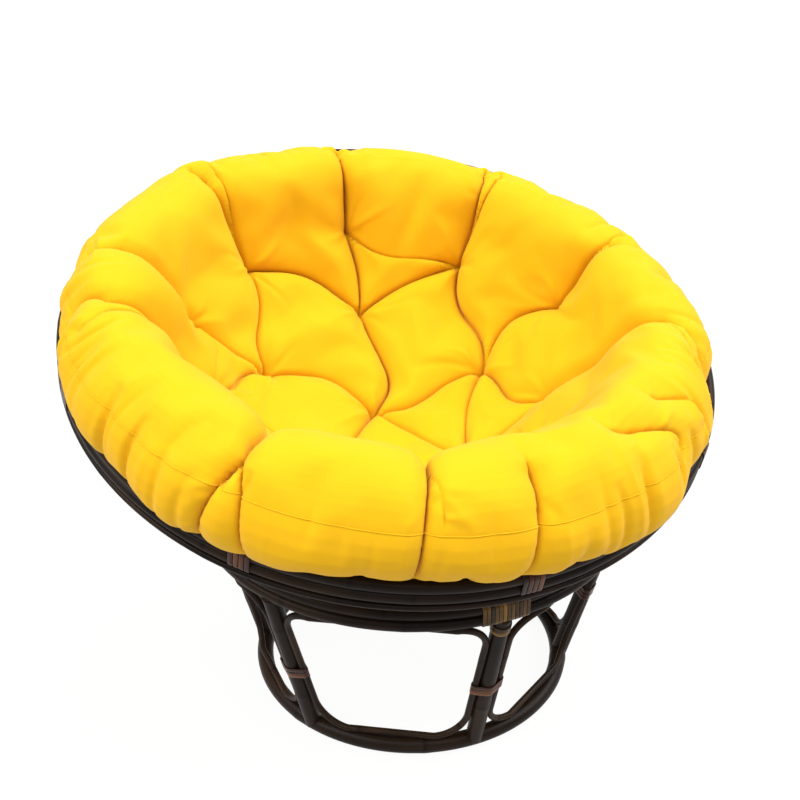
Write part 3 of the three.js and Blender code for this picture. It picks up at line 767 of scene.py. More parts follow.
        splice = self.splice_binding.build("seen_base_splice_binding", circles, along_ring, peel)
        strap = self.splice_binding.thickness + SEAT_GAP
        half = (self.collar_binding.turns * self.collar_binding.pitch + self.collar_binding.width) / 2
        height = self.top_height - self.top_pole.radius - strap - self.collar_drop - half - self.collar_gap
        collar = self.collar_binding.build("seen_base_collar_binding", [(0.0, 0.0, self.leg_pole.radius)],
                                           self.leg_frame(azimuth, height), peel)
        return [splice, collar]


def rounded_outline(corners: Sequence[tuple[float, float, float]], step: float = 3.0) -> np.ndarray:
    """Rounds a closed outline's corners with arcs.

    Args:
        corners: Each corner's x, y and radius, anticlockwise.
        step: The distance between points on the arcs.

    Returns:
        The outline's points.
    """
    outline = []
    for k, (x, y, radius) in enumerate(corners):
        at = np.array([x, y])
        back = unit(np.array(corners[k - 1][:2]) - at)
        ahead = unit(np.array(corners[(k + 1) % len(corners)][:2]) - at)
        half = math.acos(float(back @ ahead)) / 2
        centre = at + unit(back + ahead) * radius / math.sin(half)
        start = at + back * radius / math.tan(half) - centre
        turn = math.pi - 2 * half
        for angle in np.linspace(0.0, turn, max(3, int(radius * turn / step))):
            c, s = math.cos(angle), math.sin(angle)
            outline.append(centre + np.array([c * start[0] - s * start[1], s * start[0] + c * start[1]]))
    return np.array(outline)


# The bowl


@dataclass
class Bowl:
    """The tilted bowl: a double rim with bindings, eight ribs on one sphere and three hoops.

    Attributes:
        seat_pole: The thin hoop under the rim.
        seat_hoop: The thin hoop's radius, and its height over the rim's plane.
        start_azimuth: Where the rings' poles begin.
        rib_first_azimuth: The front rib's place.
        rib_foot_polar: How far from the bowl's lowest point the ribs begin, as an angle.
        hoop_polars: Each hoop's place on the bowl's sphere, as an angle from its lowest point.
    """

    rim_pole: Pole = field(default_factory=lambda: Pole(10.5, 280.0))
    rib_pole: Pole = field(default_factory=lambda: Pole(9.0, 230.0))
    hoop_pole: Pole = field(default_factory=lambda: Pole(8.0, 260.0))
    seat_pole: Pole = field(default_factory=lambda: Pole(5.0, 240.0))
    seat_hoop: tuple[float, float] = (526.5, -27.5)
    binding: Winding = field(default_factory=lambda: Winding(4, 8.4, 7.6))
    rim_radius: float = 521.0
    depth: float = 309.0
    tilt: float = 16.0
    start_azimuth: float = 165.0
    rib_count: int = 8
    rib_first_azimuth: float = -3.0
    rib_foot_polar: float = 5.5
    rib_points: int = 90
    hoop_polars: tuple[tuple[str, float], ...] = (("middle", 42.0), ("lower", 24.0), ("bottom", 8.0))

    @property
    def sphere(self) -> float:
        """Returns the radius of the sphere that the ribs lie on."""
        return (self.rim_radius ** 2 + self.depth ** 2) / (2 * self.depth)

    @property
    def rim_drop(self) -> float:
        """Returns how far the rim's plane lies below the sphere's middle."""
        return self.sphere - self.depth

    def tilted(self, points: np.ndarray) -> np.ndarray:
        """Turns directions from the level bowl to the tilted one."""
        return points @ np.array(Matrix.Rotation(math.radians(self.tilt), 3, "X")).T

    def placed(self, azimuth: np.ndarray | float, radius: np.ndarray | float,
               height: np.ndarray | float) -> np.ndarray:
        """Returns points of the chair by azimuth, radius and height over the rim's plane."""
        level = outward(azimuth) * np.asarray(radius)[..., None]
        return TILT_CENTRE + self.tilted(level + UP * (np.asarray(height)[..., None] - self.rim_drop))

    def on_sphere(self, azimuth: float, polar: np.ndarray, radius: float) -> np.ndarray:
        """Returns points on a sphere about the tilt centre."""
        angle = np.radians(polar)
        return self.placed(azimuth, radius * np.sin(angle), self.rim_drop - radius * np.cos(angle))

    def build(self, rattan: bpy.types.Material, peel: bpy.types.Material) -> list[bpy.types.Object]:
        """Builds the bowl and returns its pieces."""
        rise = self.tilted(UP)
        offset = self.rim_pole.radius + SEAT_GAP / 2
        poles, bindings = [], []
        for level, height in (("lower", -offset), ("upper", offset)):
            circle = self.circle(self.rim_radius, height)
            poles.append(self.rim_pole.build(f"seen_bowl_rim_{level}", circle, rise, True, rattan))
        hoop_sphere = self.sphere - self.rib_pole.radius - SEAT_GAP - self.hoop_pole.radius
        for name, polar in self.hoop_polars:
            radius = hoop_sphere * math.sin(math.radians(polar))
            height = self.rim_drop - hoop_sphere * math.cos(math.radians(polar))
            circle = self.circle(radius, height)
            poles.append(self.hoop_pole.build(f"seen_bowl_hoop_{name}", circle, rise, True, rattan))
        # A thin hoop under the rim closes the joint over the ribs' ends; its dark pole also stands in for the
        # shade under the rim, so that the cushion's underside doesn't show through there
        seat_hoop = self.seat_pole.build("bowl_rim_hoop", self.circle(*self.seat_hoop), rise, True, rattan)
        add_piece(seat_hoop, Body.BOWL)
        for k in range(self.rib_count):
            azimuth = self.rib_first_azimuth + 360.0 * k / self.rib_count
            poles.append(self.build_rib(k + 1, azimuth, rattan))
            bindings.append(self.build_binding(k + 1, azimuth, peel))
        for slot, pieces in ((Slot.DARK_RATTAN, poles), (Slot.RATTAN_PEEL, bindings)):
            for piece in pieces:
                stand_in(piece, Body.BOWL)
        return poles + [seat_hoop] + bindings

    def circle(self, radius: float, height: float) -> np.ndarray:
        """Returns a circle round the bowl's axis at a height over the rim's plane."""
        turn = np.linspace(0.0, 360.0, CIRCLE_POINTS, endpoint=False) + self.start_azimuth
        return self.placed(turn, np.full(CIRCLE_POINTS, radius), np.full(CIRCLE_POINTS, height))

    def build_rib(self, number: int, azimuth: float, rattan: bpy.types.Material) -> bpy.types.Object:
        """Builds one rib, which ends against the lower rim pole."""
        rim_polar = math.degrees(math.asin(self.rim_radius / self.sphere))
        short = self.rim_pole.radius + self.rib_pole.radius
        end_polar = rim_polar - math.degrees(short / self.sphere)
        polars = np.linspace(self.rib_foot_polar, end_polar, self.rib_points)
        side = self.tilted(sideways(azimuth))
        return self.rib_pole.build(
            f"seen_bowl_rib_{number}", self.on_sphere(azimuth, polars, self.sphere),
            lambda places: unit(np.cross(side, np.gradient(places, axis=0))), False, rattan)

    def build_binding(self, number: int, azimuth: float, peel: bpy.types.Material) -> bpy.types.Object:
        """Builds one binding round both rim poles."""
        offset = self.rim_pole.radius + SEAT_GAP / 2
        circles = [(0.0, -offset, self.rim_pole.radius), (0.0, offset, self.rim_pole.radius)]

        def along_rim(s: float) -> tuple[np.ndarray, ...]:
            """Returns the rim's frame at a distance along it from the rib."""
            here = azimuth + math.degrees(s / self.rim_radius)
            return self.placed(here, self.rim_radius, 0.0), self.tilted(-outward(here)), self.tilted(UP)

        return self.binding.build(f"seen_bowl_rim_binding_{number}", circles, along_rim, peel)


# The cushion. A station is a place along its cover: 0 the middle, 1 the roll's crest, 2 the seam, 3 the
# rim and 4 the underside's end


@dataclass(frozen=True)
class RimSize:
    """A size that differs between the bowl's front, right, back and left."""

    front: float
    right: float
    back: float
    left: float

    def at(self, azimuth: np.ndarray) -> np.ndarray:
        """Returns the size at the azimuths, with even changes between the four sides."""
        angle = np.radians(azimuth)
        ends, sides = (self.front + self.back) / 2, (self.right + self.left) / 2
        return ((ends + sides) / 2 + (self.front - self.back) / 2 * np.cos(angle)
                + (self.right - self.left) / 2 * np.sin(angle) + (ends - sides) / 2 * np.cos(2 * angle))


@dataclass(frozen=True)
class Tuft:
    """A sewn tuft, by azimuth and distance from the bowl's axis."""

    azimuth: float
    radius: float


@dataclass(frozen=True)
class Crease:
    """A fold in the cover between two tufts or from a tuft over the roll.

    Attributes:
        start: The tuft that it leaves, or an azimuth on the roll's inner side.
        stop: The tuft that it reaches, or an azimuth on the roll.
        bow: How far its middle lies to its left, seen from above.
        lean: How far its first half lies to its left and its second half to its right.
        strength: Its depth as a share of a full fold, in its middle.
        reach: For a fold over the roll, the station that it fades out at.
    """

    start: str | float
    stop: str | float
    bow: float = 0.0
    lean: float = 0.0
    strength: float = 0.6
    reach: float = 1.8


TUFTS = {
    "centre": Tuft(252, 13), "inner_0": Tuft(20, 205), "inner_1": Tuft(92, 198),
    "inner_2": Tuft(167, 214), "inner_3": Tuft(238, 203), "inner_4": Tuft(311, 205),
    "outer_0": Tuft(23, 325), "outer_1": Tuft(60, 283), "outer_2": Tuft(93, 344),
    "outer_3": Tuft(131, 318), "outer_4": Tuft(169, 341), "outer_5": Tuft(206, 326),
    "outer_6": Tuft(241, 342), "outer_7": Tuft(263, 304), "outer_8": Tuft(309, 330),
    "outer_9": Tuft(339, 330),
}

CREASES = (
    Crease("outer_5", "inner_2", -36, 0, 0.8), Crease("outer_4", "inner_2", -9, 0, 0.85),
    Crease("outer_3", "inner_2", 16, 0, 0.6), Crease("outer_5", "inner_3", 4, -8, 0.6),
    Crease("inner_2", "centre", -34, 9, 0.85), Crease("inner_3", "centre", -44, 0, 0.75),
    Crease("centre", "inner_1", 5, 9, 0.75), Crease("centre", "inner_4", 0, 0, 0.6),
    Crease("inner_3", "outer_7", 8, 8, 0.7), Crease("outer_3", "inner_1", -3, 12, 0.85),
    Crease("inner_1", "outer_2", -42, 4, 0.75), Crease("outer_4", "outer_3", 6, 6, 0.2),
    Crease("inner_1", "outer_1", 18, -9, 0.75), Crease("inner_1", "inner_0", 10, 0, 0.4),
    Crease("centre", "inner_0", 0, 0, 0.5), Crease("inner_0", "outer_0", 0, 0, 0.6),
    Crease("inner_0", "outer_9", 0, 0, 0.6), Crease("inner_0", "outer_1", 0, 0, 0.6),
    Crease("inner_4", "outer_7", 0, 0, 0.5), Crease("inner_4", "outer_8", 0, 0, 0.6),
    Crease("inner_4", "outer_9", 0, 0, 0.6), Crease("inner_3", "outer_6", 0, 0, 0.5),
    Crease("outer_5", 206.5, 0, 0, 0.65, 1.5), Crease("outer_5", 203.0, -1, 0, 0.4, 1.3),
    Crease("outer_4", 170.0, 0, 0, 0.65, 1.3), Crease("outer_3", 133.0, 0, 0, 0.55, 1.35),
    Crease("outer_3", 129.0, -1, 0, 0.4, 1.4), Crease("outer_6", 242.0, 0, 0, 0.65, 2.0),
    Crease("outer_7", 261.0, -4, 0, 0.7, 2.4), Crease("outer_7", 267.0, 0, 0, 0.35, 2.0),
    Crease("outer_8", 305.5, 2, 0, 0.8, 2.95), Crease("outer_8", 314.5, -2, 0, 0.65, 2.95),
    Crease("outer_9", 338.0, 0, 0, 0.75, 2.95), Crease("outer_9", 341.0, 0, 0, 0.35, 2.0),
    Crease(356.0, 353.5, 1, 0, 0.65, 2.9), Crease(28.0, 34.0, 3, 0, 0.3, 2.2),
    Crease(13.0, 22.0, 7, 0, 0.42, 2.3), Crease("outer_1", 51.0, 4, 0, 0.9, 2.4),
    Crease("outer_1", 46.0, 4, 0, 0.35, 1.9), Crease("outer_2", 89.0, 0, 0, 0.55, 2.0),
    Crease("outer_2", 94.0, 0, 0, 0.35, 1.6),
)


@dataclass(frozen=True)
class Lobe:
    """A place where the filling swells the cover, or draws it in.

    Attributes:
        azimuth: The lobe's middle.
        half_turn: How many degrees it reaches to each side.
        station: The station of its middle.
        half_stations: How many stations it reaches up and down.
        swell: How far it stands out.
    """

    azimuth: float
    half_turn: float
    station: float
    half_stations: float
    swell: float


LOBES = (
    Lobe(18, 17, 2.5, 0.8, 20), Lobe(354, 12, 2.5, 0.7, 9), Lobe(303, 15, 2.5, 0.8, 18),
    Lobe(282, 12, 2.4, 0.8, 10), Lobe(318, 13, 2.6, 0.7, 12), Lobe(4, 10, 2.6, 0.7, 8),
    Lobe(50, 10, 2.0, 0.9, -16), Lobe(258, 9, 2.0, 0.8, -12), Lobe(28, 7, 2.2, 0.8, -7),
    Lobe(244, 9, 2.0, 0.8, -9), Lobe(140, 9, 1.8, 0.7, -7), Lobe(105, 12, 1.6, 0.7, 5),
    Lobe(206, 13, 1.6, 0.7, 10), Lobe(156, 24, 1.6, 0.7, -5), Lobe(252, 13, 0.82, 0.2, 20),
)


@dataclass(frozen=True)
class Puckers:
    """A stretch of the roll with wrinkles across it.

    Attributes:
        first: The azimuth of its first wrinkle.
        last: The azimuth of its last wrinkle.
        low: The first station of their middles.
        high: The last station of their middles.
        spacing: The distance between wrinkles, in degrees.
        height: The height of a full wrinkle.
    """

    first: float
    last: float
    low: float
    high: float
    spacing: float
    height: float


PUCKERS = (
    Puckers(236, 262, 1.3, 2.1, 3.4, 3.6), Puckers(264, 305, 1.5, 2.4, 2.6, 5.4),
    Puckers(316, 352, 1.9, 2.5, 4.6, 2.8), Puckers(357, 20, 1.9, 2.5, 3.2, 4.4),
    Puckers(34, 56, 1.2, 1.9, 2.4, 5.2), Puckers(58, 90, 1.3, 2.0, 3.6, 3.4),
    Puckers(95, 135, 1.1, 1.6, 4.2, 2.6), Puckers(160, 210, 1.1, 1.6, 4.2, 2.8),
)


@dataclass(frozen=True)
class Pleat:
    """A deep pleat across the roll, by the azimuth and station of its middle."""

    azimuth: float
    station: float
    length: float
    depth: float
    width: float


PLEATS = (
    Pleat(285, 2.2, 130, 12, 9), Pleat(269, 1.5, 120, 8, 6), Pleat(274, 2.0, 90, 7, 6),
    Pleat(293, 2.2, 110, 7, 7), Pleat(299, 2.3, 90, 6, 6), Pleat(40, 1.5, 140, 6, 7),
    Pleat(46, 1.4, 120, 5, 6), Pleat(24, 2.1, 70, 5, 7), Pleat(30, 2.1, 70, 5, 7),
    Pleat(9, 2.2, 90, 6, 7), Pleat(15, 2.2, 90, 6, 6), Pleat(309, 1.85, 46, 9, 4),
    Pleat(312, 1.8, 40, 8, 4), Pleat(345, 2.7, 50, 8, 8), Pleat(330, 2.8, 45, 7, 7),
    Pleat(188, 1.4, 40, 5, 5),
)


@dataclass(frozen=True)
class Layout:
    """The order of the cover's vertices: a disc of growing rings, then rows of even columns.

    Attributes:
        rings: The disc's rings, from the middle to the roll's crest.
        side: The rows from the crest to the seam.
        low: The rows from the seam to the rim.
        under: The rows of the underside.
    """

    rings: int
    side: int
    low: int
    under: int

    @property
    def columns(self) -> int:
        """Returns how many vertices a full row has."""
        return 6 * self.rings

    @property
    def sizes(self) -> np.ndarray:
        """Returns how many vertices each row has."""
        rows = self.side + self.low + self.under
        return np.concatenate([[1], 6 * np.arange(1, self.rings + 1), np.full(rows, self.columns)])

    @property
    def starts(self) -> np.ndarray:
        """Returns the number of each row's first vertex."""
        return np.concatenate([[0], np.cumsum(self.sizes)])[:-1]

    @property
    def stations(self) -> np.ndarray:
        """Returns each row's station."""
        spans = [np.arange(self.rings + 1) / self.rings]
        spans += [k + 1 + np.arange(1, n + 1) / n for k, n in enumerate((self.side, self.low, self.under))]
        return np.concatenate(spans)

    @property
    def seam(self) -> slice:
        """Returns the seam row's vertices."""
        start = int(self.starts[self.rings + self.side])
        return slice(start, start + self.columns)

    def spread(self, values: np.ndarray) -> np.ndarray:
        """Gives each vertex its row's value."""
        return np.repeat(values, self.sizes, axis=0)

    @property
    def azimuths(self) -> np.ndarray:
        """Returns each vertex's azimuth."""
        return np.concatenate([np.arange(n) * 360.0 / n for n in self.sizes])

    def sampled(self, values: np.ndarray, station: np.ndarray, azimuth: np.ndarray) -> np.ndarray:
        """Reads values of this layout's vertices between them.

        Args:
            values: One row of numbers a vertex.
            station: The stations to read at.
            azimuth: The azimuths to read at.

        Returns:
            The values there.
        """
        row = np.interp(station, self.stations, np.arange(len(self.sizes)))
        low = np.minimum(row.astype(int), len(self.sizes) - 2)
        share = (row - low)[:, None]
        inner, outer = self.in_row(values, low, azimuth), self.in_row(values, low + 1, azimuth)
        return inner * (1 - share) + outer * share

    def in_row(self, values: np.ndarray, row: np.ndarray, azimuth: np.ndarray) -> np.ndarray:
        """Reads values along rows, between their vertices."""
        size, start = self.sizes[row], self.starts[row]
        place = np.mod(azimuth, 360.0) / 360.0 * size
        here = place.astype(int) % size
        share = (place - np.floor(place))[:, None]
        return values[start + here] * (1 - share) + values[start + (here + 1) % size] * share

    def neighbour_mean(self, values: np.ndarray) -> np.ndarray:
        """Returns the mean of each vertex's neighbours along its row and across to the next rows."""
        row = self.spread(np.arange(len(self.sizes)))
        azimuth = self.azimuths
        turn = 360.0 / self.sizes[row]
        last = len(self.sizes) - 1
        beside = self.in_row(values, row, azimuth + turn) + self.in_row(values, row, azimuth - turn)
        beyond = (self.in_row(values, np.minimum(row + 1, last), azimuth)
                  + self.in_row(values, np.maximum(row - 1, 0), azimuth))
        return (beside + beyond) / 4

    def faces(self) -> list[list[int]]:
        """Returns the cover's faces: a disc of triangles, then rows of quads, then a closing face."""
        faces: list[list[int]] = []
        starts = self.starts
        for k in range(self.rings):
            n_in, n_out = max(1, 6 * k), 6 * (k + 1)
            sector, i = np.divmod(np.arange(6 * (k + 1)), k + 1)
            inner = starts[k] + (sector * k + i) % n_in
            outer = starts[k + 1] + sector * (k + 1) + i
            beyond = starts[k + 1] + (sector * (k + 1) + i + 1) % n_out
            faces += np.stack([inner, outer, beyond], axis=1).tolist()
            wide = i < k
            following = starts[k] + (sector * k + i + 1) % n_in
            faces += np.stack([inner[wide], beyond[wide], following[wide]], axis=1).tolist()
        turn = np.arange(self.columns)
        after = (turn + 1) % self.columns
        for start in starts[self.rings:-1]:
            below = start + self.columns
            faces += np.stack([start + turn, below + turn, below + after, start + after], axis=1).tolist()
        faces.append((starts[-1] + turn[::-1]).tolist())
        return faces


@dataclass(frozen=True)
class Chart:
    """The cover laid flat, where a place lies at its distance from the middle along the cover.

    Attributes:
        layout: The order of the vertices.
        points: The full puffs' surface.
        level: The same vertices on the tufts' level.
        reach: Each row's distance from the middle along the cover.
    """

    layout: Layout
    points: np.ndarray
    level: np.ndarray
    reach: np.ndarray

    def flat(self, station: float, azimuth: float) -> np.ndarray:
        """Returns the flat place of a station and azimuth."""
        return flat_point(azimuth, float(np.interp(station, self.layout.stations, self.reach)))

    def raised(self, flat: np.ndarray) -> np.ndarray:
        """Returns the cover's points at flat places."""
        station = np.interp(np.linalg.norm(flat, axis=1), self.reach, self.layout.stations)
        return self.layout.sampled(self.points, station, np.degrees(np.arctan2(flat[:, 0], -flat[:, 1])))

    def flattened(self, point: np.ndarray) -> np.ndarray:
        """Returns the flat place of the vertex next to a point."""
        vertex = int(np.argmin(np.sum((self.points - point) ** 2, axis=1)))
        return flat_point(self.layout.azimuths[vertex], self.layout.spread(self.reach)[vertex])


@dataclass(frozen=True)
class FoldLine:
    """A fold or wrinkle on the cover's surface: its points, and its strength and width at each."""

    points: np.ndarray
    strength: np.ndarray
    width: np.ndarray

    def near(self, points: np.ndarray, reach: float) -> np.ndarray:
        """Returns the numbers of the points inside the line's box, grown by a reach."""
        low, high = self.points.min(axis=0) - reach, self.points.max(axis=0) + reach
        return np.where(np.all((points > low) & (points < high), axis=1))[0]

    def place(self, at: np.ndarray) -> np.ndarray:
        """Returns the line's places at numbers along its points."""
        stops = np.arange(len(self.points))
        return np.stack([np.interp(at, stops, self.points[:, k]) for k in range(3)], axis=1)

    def value(self, values: np.ndarray, at: np.ndarray) -> np.ndarray:
        """Returns the line's values at numbers along its points."""
        return np.interp(at, np.arange(len(values)), values)


@dataclass
class WrinklePen:
    """Draws wrinkles on the cover's chart, all from one run of random numbers.

    Attributes:
        chart: The cover's chart.
        random: The random numbers.
        drawn: The wrinkles so far, with their heights as strengths.
        points: How many points a wrinkle has.
        bend: How far a wrinkle may bow to a side, as a share of its length.
        across_points: The same for a wrinkle across the roll.
        across_bend: The same for a wrinkle across the roll.
        across_turn: How far such a wrinkle may turn from straight across, in degrees.
    """

    chart: Chart
    random: np.random.Generator
    drawn: list[FoldLine] = field(default_factory=list)
    points: int = 14
    bend: float = 0.12
    across_points: int = 18
    across_bend: float = 0.09
    across_turn: float = 7.0

    def draw(self, start: np.ndarray, angle: float, length: float, height: float, width: float) -> None:
        """Draws a wrinkle that runs out from a flat place along an angle and fades to its end."""
        share = np.linspace(0.0, 1.0, self.points)
        ahead = flat_direction(angle)
        side = np.array([-ahead[1], ahead[0]]) * self.random.uniform(-self.bend, self.bend) * length
        flat = start + ahead * (length * share)[:, None] + side * np.sin(np.pi * share)[:, None]
        taper = smoothstep(0.0, 0.12, share) * (1 - share) ** 0.8
        self.drawn.append(FoldLine(self.chart.raised(flat), height * taper, width * (0.7 + 0.9 * share)))

    def draw_across(self, azimuth: float, station: float, length: float, height: float,
                    width: float) -> None:
        """Draws a wrinkle across the roll, strongest in its middle."""
        share = np.linspace(0.0, 1.0, self.across_points)
        ahead = flat_direction(azimuth - 90.0 + self.random.uniform(-self.across_turn, self.across_turn))
        bow = self.random.uniform(-self.across_bend, self.across_bend)
        side = np.array([-ahead[1], ahead[0]]) * bow * length
        flat = self.chart.flat(station, azimuth) + ahead * (length * (share - 0.5))[:, None]
        flat = flat + side * np.sin(np.pi * share)[:, None]
        taper = np.sin(np.pi * share) ** 0.8
        self.drawn.append(FoldLine(self.chart.raised(flat), height * taper, np.full(len(share), width)))


@dataclass
class Cushion:
    """The tufted cushion: one stuffed cover with its folds, and the welt along its seam.

    Attributes:
        bowl: The bowl that it lies in.
        coarse: The layout that the cloth settles on.
        fine: The layout that is shown.
        inset: How far the roll's middle lies inside the rim.
        roll_height: How high the roll's middle lies over the rim's plane.
        roll_radius: The roll's own radius at a full puff.
        seam_angle: The seam's place on the roll, as an angle about the roll's middle from level outward.
            The shoulder, crest and rim angles are counted in the same way.
        dish_sphere: The radius of the sphere that the tufts lie on.
        under_sphere: The radius of the sphere that the underside lies on.
        puff: How far the puffs of the dish rise over the level of the tufts.
        slope_sag: How far the slope between the dish and the roll sags.
        rim_press: How far the rim presses the roll in.
        tight_share: The width of a fold's steep part, as a share of the whole.
        least_fold: The least depth of a fold on the slope.
        most_fold: The greatest depth of a fold.
        roll_fold: The depth of a fold on the roll.
        roll_fade: How much of that depth is lost towards the rim.
        slope_stations: Where the least fold begins, and where it is full.
        roll_stations: Where the folds' depth begins to turn to the roll's, and where it has.
        fade_stations: Where that depth begins to fade, and where it has faded.
        fold_end: The station where the folds end.
        held_from: The station from which the cloth is held at the rim.
        rim_stations: Where the wrinkles begin to fade at the rim, and where they have.
        gather_reach: How far from a fold the cloth is drawn in.
        hold_reach: How far from a fold the cloth is held while it settles.
        rim_clearance: The least distance between the cover and the rim.
        under_margin: How far inside the rim the underside's own limit begins.
        fan_wrinkles: The wrinkles round each tuft.
        roll_wrinkles: The wrinkles beside each fold over the roll.
        spare_cloth: How much larger the cloth is cut than the cover.
        most_shift: How far the settling may move a place.
        free_start: The station at which a fold without a tuft begins.
    """

    bowl: Bowl
    coarse: Layout = Layout(80, 16, 18, 10)
    fine: Layout = Layout(190, 38, 44, 12)
    section_step: float = 4.0
    inset: RimSize = RimSize(61, 105, 101, 61)
    roll_height: RimSize = RimSize(88, 42, 24, 70)
    roll_radius: RimSize = RimSize(90, 69, 64, 77)
    seam_angle: RimSize = RimSize(31, 22, 20, 32)
    shoulder_angles: tuple[float, float] = (138.0, 117.0)
    crest_angle: float = 95.0
    rim_angle: float = -62.0
    rim_press: float = 9.0
    dish_radii: tuple[float, ...] = (0.0, 60.0, 120.0, 180.0, 235.0)
    dish_sphere: float = 467.6
    under_polars: tuple[float, ...] = (50.0, 42.0, 33.0, 24.0, 16.0, 8.0, 1.0)
    under_sphere: float = 566.0
    puff: float = 42.0
    slope_sag: float = 12.0

    fold_points: int = 48
    fold_width: float = 105.0
    tight_share: float = 0.35
    least_fold: float = 24.0
    most_fold: float = 62.0
    roll_fold: float = 32.0
    roll_fade: float = 0.4
    roll_fold_width: float = 58.0
    slope_stations: tuple[float, float] = (0.45, 0.6)
    roll_stations: tuple[float, float] = (0.72, 1.0)
    fade_stations: tuple[float, float] = (1.5, 2.6)
    fold_end: float = 2.9
    held_from: float = 2.8
    rim_stations: tuple[float, float] = (2.85, 3.0)
    slit_depth: float = 9.0
    slit_width: float = 3.2
    gather_reach: float = 15.0
    gather_power: float = 1.8
    hold_reach: float = 6.0
    free_start: float = 0.9
    tuft_depth: float = 6.0
    tuft_width: float = 22.0
    rim_clearance: float = 2.4
    under_margin: float = 40.0

    wrinkle_seed: int = 11
    fan_wrinkles: int = 11
    fan_start: float = 5.0
    fan_lengths: tuple[float, float] = (40.0, 125.0)
    fan_widths: tuple[float, float] = (4.4, 7.0)
    fan_height: float = 5.2
    roll_wrinkles: int = 7
    roll_wrinkle_lengths: tuple[float, float] = (28.0, 85.0)
    roll_wrinkle_turns: tuple[float, float] = (35.0, 85.0)
    roll_wrinkle_height: float = 4.6
    pucker_lengths: tuple[float, float] = (60.0, 170.0)
    wrinkle_widths: tuple[float, float] = (5.0, 8.5)
    seam_dent: float = 1.0
    seam_width: float = 2.8
    welt_radius: float = 0.8
    welt_rise: float = 0.5

    seam_hold: float = 0.35
    free_hold: float = 0.02
    cloth_mass: float = 0.25
    cloth_quality: int = 5
    stretch: float = 15.0
    bend: float = 6.0
    damping: float = 8.0
    air_damping: float = 3.0
    pressure: float = 4.0
    spare_cloth: float = 0.05
    most_shift: float = 22.0
    settle_frames: int = 14
    smoothing: int = 8
    smoothing_share: float = 0.6

    def dish_height(self, radius: np.ndarray) -> np.ndarray:
        """Returns the height of the tufts' level over the rim's plane."""
        return self.bowl.rim_drop - np.sqrt(self.dish_sphere ** 2 - radius ** 2)

    def roll_point(self, azimuth: np.ndarray, angle: float, press: float = 0.0) -> np.ndarray:
        """Returns radius and height of the roll's surface at an angle about its middle."""
        radius = self.roll_radius.at(azimuth) - press
        turn = math.radians(angle)
        out = self.bowl.rim_radius - self.inset.at(azimuth)
        height = self.roll_height.at(azimuth)
        return np.array([out + radius * math.cos(turn), height + radius * math.sin(turn)])

    def section(self, azimuth: float) -> list[np.ndarray]:
        """Returns the cushion's section at an azimuth, as points of radius and height.

        Args:
            azimuth: The section's azimuth.

        Returns:
            Four curves: the middle to the crest, on to the seam, on to the rim, and the underside.
        """
        radii = np.array(self.dish_radii)
        dish = np.stack([radii, self.dish_height(radii) + self.puff], axis=1)
        shoulder = self.roll_point(azimuth, self.shoulder_angles[0])
        slope = shoulder - dish[-1]
        inward = np.array([slope[1], -slope[0]]) / np.linalg.norm(slope)
        middle = (dish[-1] + shoulder) / 2 + inward * self.slope_sag
        roll = [shoulder, *(self.roll_point(azimuth, a) for a in (self.shoulder_angles[1], self.crest_angle))]
        seam = float(self.seam_angle.at(azimuth))
        side = np.array([self.roll_point(azimuth, a) for a in np.linspace(self.crest_angle, seam, 8)])
        low = np.array([self.roll_point(azimuth, mix(seam, self.rim_angle, t), self.rim_press * t * t)
                        for t in np.linspace(0.0, 1.0, 9)])
        polar = np.radians(np.array(self.under_polars))
        under = np.stack([np.sin(polar), -np.cos(polar)], axis=1) * self.under_sphere
        under = np.vstack([low[-1], under + [0.0, self.bowl.rim_drop]])
        return [smooth_curve(np.vstack([dish, middle, roll])), side, low, smooth_curve(under)]

    def surface(self, layout: Layout) -> tuple[np.ndarray, np.ndarray]:
        """Lays a layout's vertices on the full puffs' surface.

        Args:
            layout: The cover's layout.

        Returns:
            Their places in the bowl's frame, and each row's mean distance along the cover.
        """
        turns = np.arange(0.0, 360.0, self.section_step)
        counts = (layout.rings + 1, layout.side + 1, layout.low + 1, layout.under + 1)
        tables = [np.array([even_curve(curve, n) for curve in curves])
                  for n, curves in zip(counts, zip(*[self.section(a) for a in turns]))]
        rows = np.concatenate([tables[0]] + [table[:, 1:] for table in tables[1:]], axis=1)
        rows = np.concatenate([rows, rows[:1]])
        row = layout.spread(np.arange(len(layout.sizes)))
        place = layout.azimuths / self.section_step
        low = place.astype(int)
        share = (place - low)[:, None]
        section = rows[low, row] * (1 - share) + rows[low + 1, row] * share
        angle, radius = np.radians(layout.azimuths), section[:, 0]
        points = np.stack([radius * np.sin(angle), -radius * np.cos(angle), section[:, 1]], axis=1)
        steps = np.linalg.norm(np.diff(rows.mean(axis=0), axis=0), axis=1)
        return points, np.concatenate([[0.0], np.cumsum(steps)])

    def depth(self, layout: Layout, points: np.ndarray) -> np.ndarray:
        """Returns how far the tufts' level lies below each vertex of the full puffs' surface."""
        station = layout.spread(layout.stations)
        middle = np.array([0.0, 0.0, self.bowl.rim_drop])
        deep = self.dish_sphere - np.linalg.norm(points - middle, axis=1)
        deep = np.clip(deep, self.least_fold * smoothstep(*self.slope_stations, station), self.most_fold)
        deep = mix(deep, self.roll_fold, smoothstep(*self.roll_stations, station))
        return deep * (1 - self.roll_fade * smoothstep(*self.fade_stations, station))

    def station_of(self, chart: Chart, azimuth: float, radius: float) -> float:
        """Returns the station whose fold reaches down to a radius of the tufts' level."""
        stations = np.linspace(0.0, 1.0, 80)
        places = chart.layout.sampled(chart.level, stations, np.full(len(stations), azimuth))
        radii = np.maximum.accumulate(np.linalg.norm(places[:, :2], axis=1))
        return float(np.interp(radius, radii, stations))

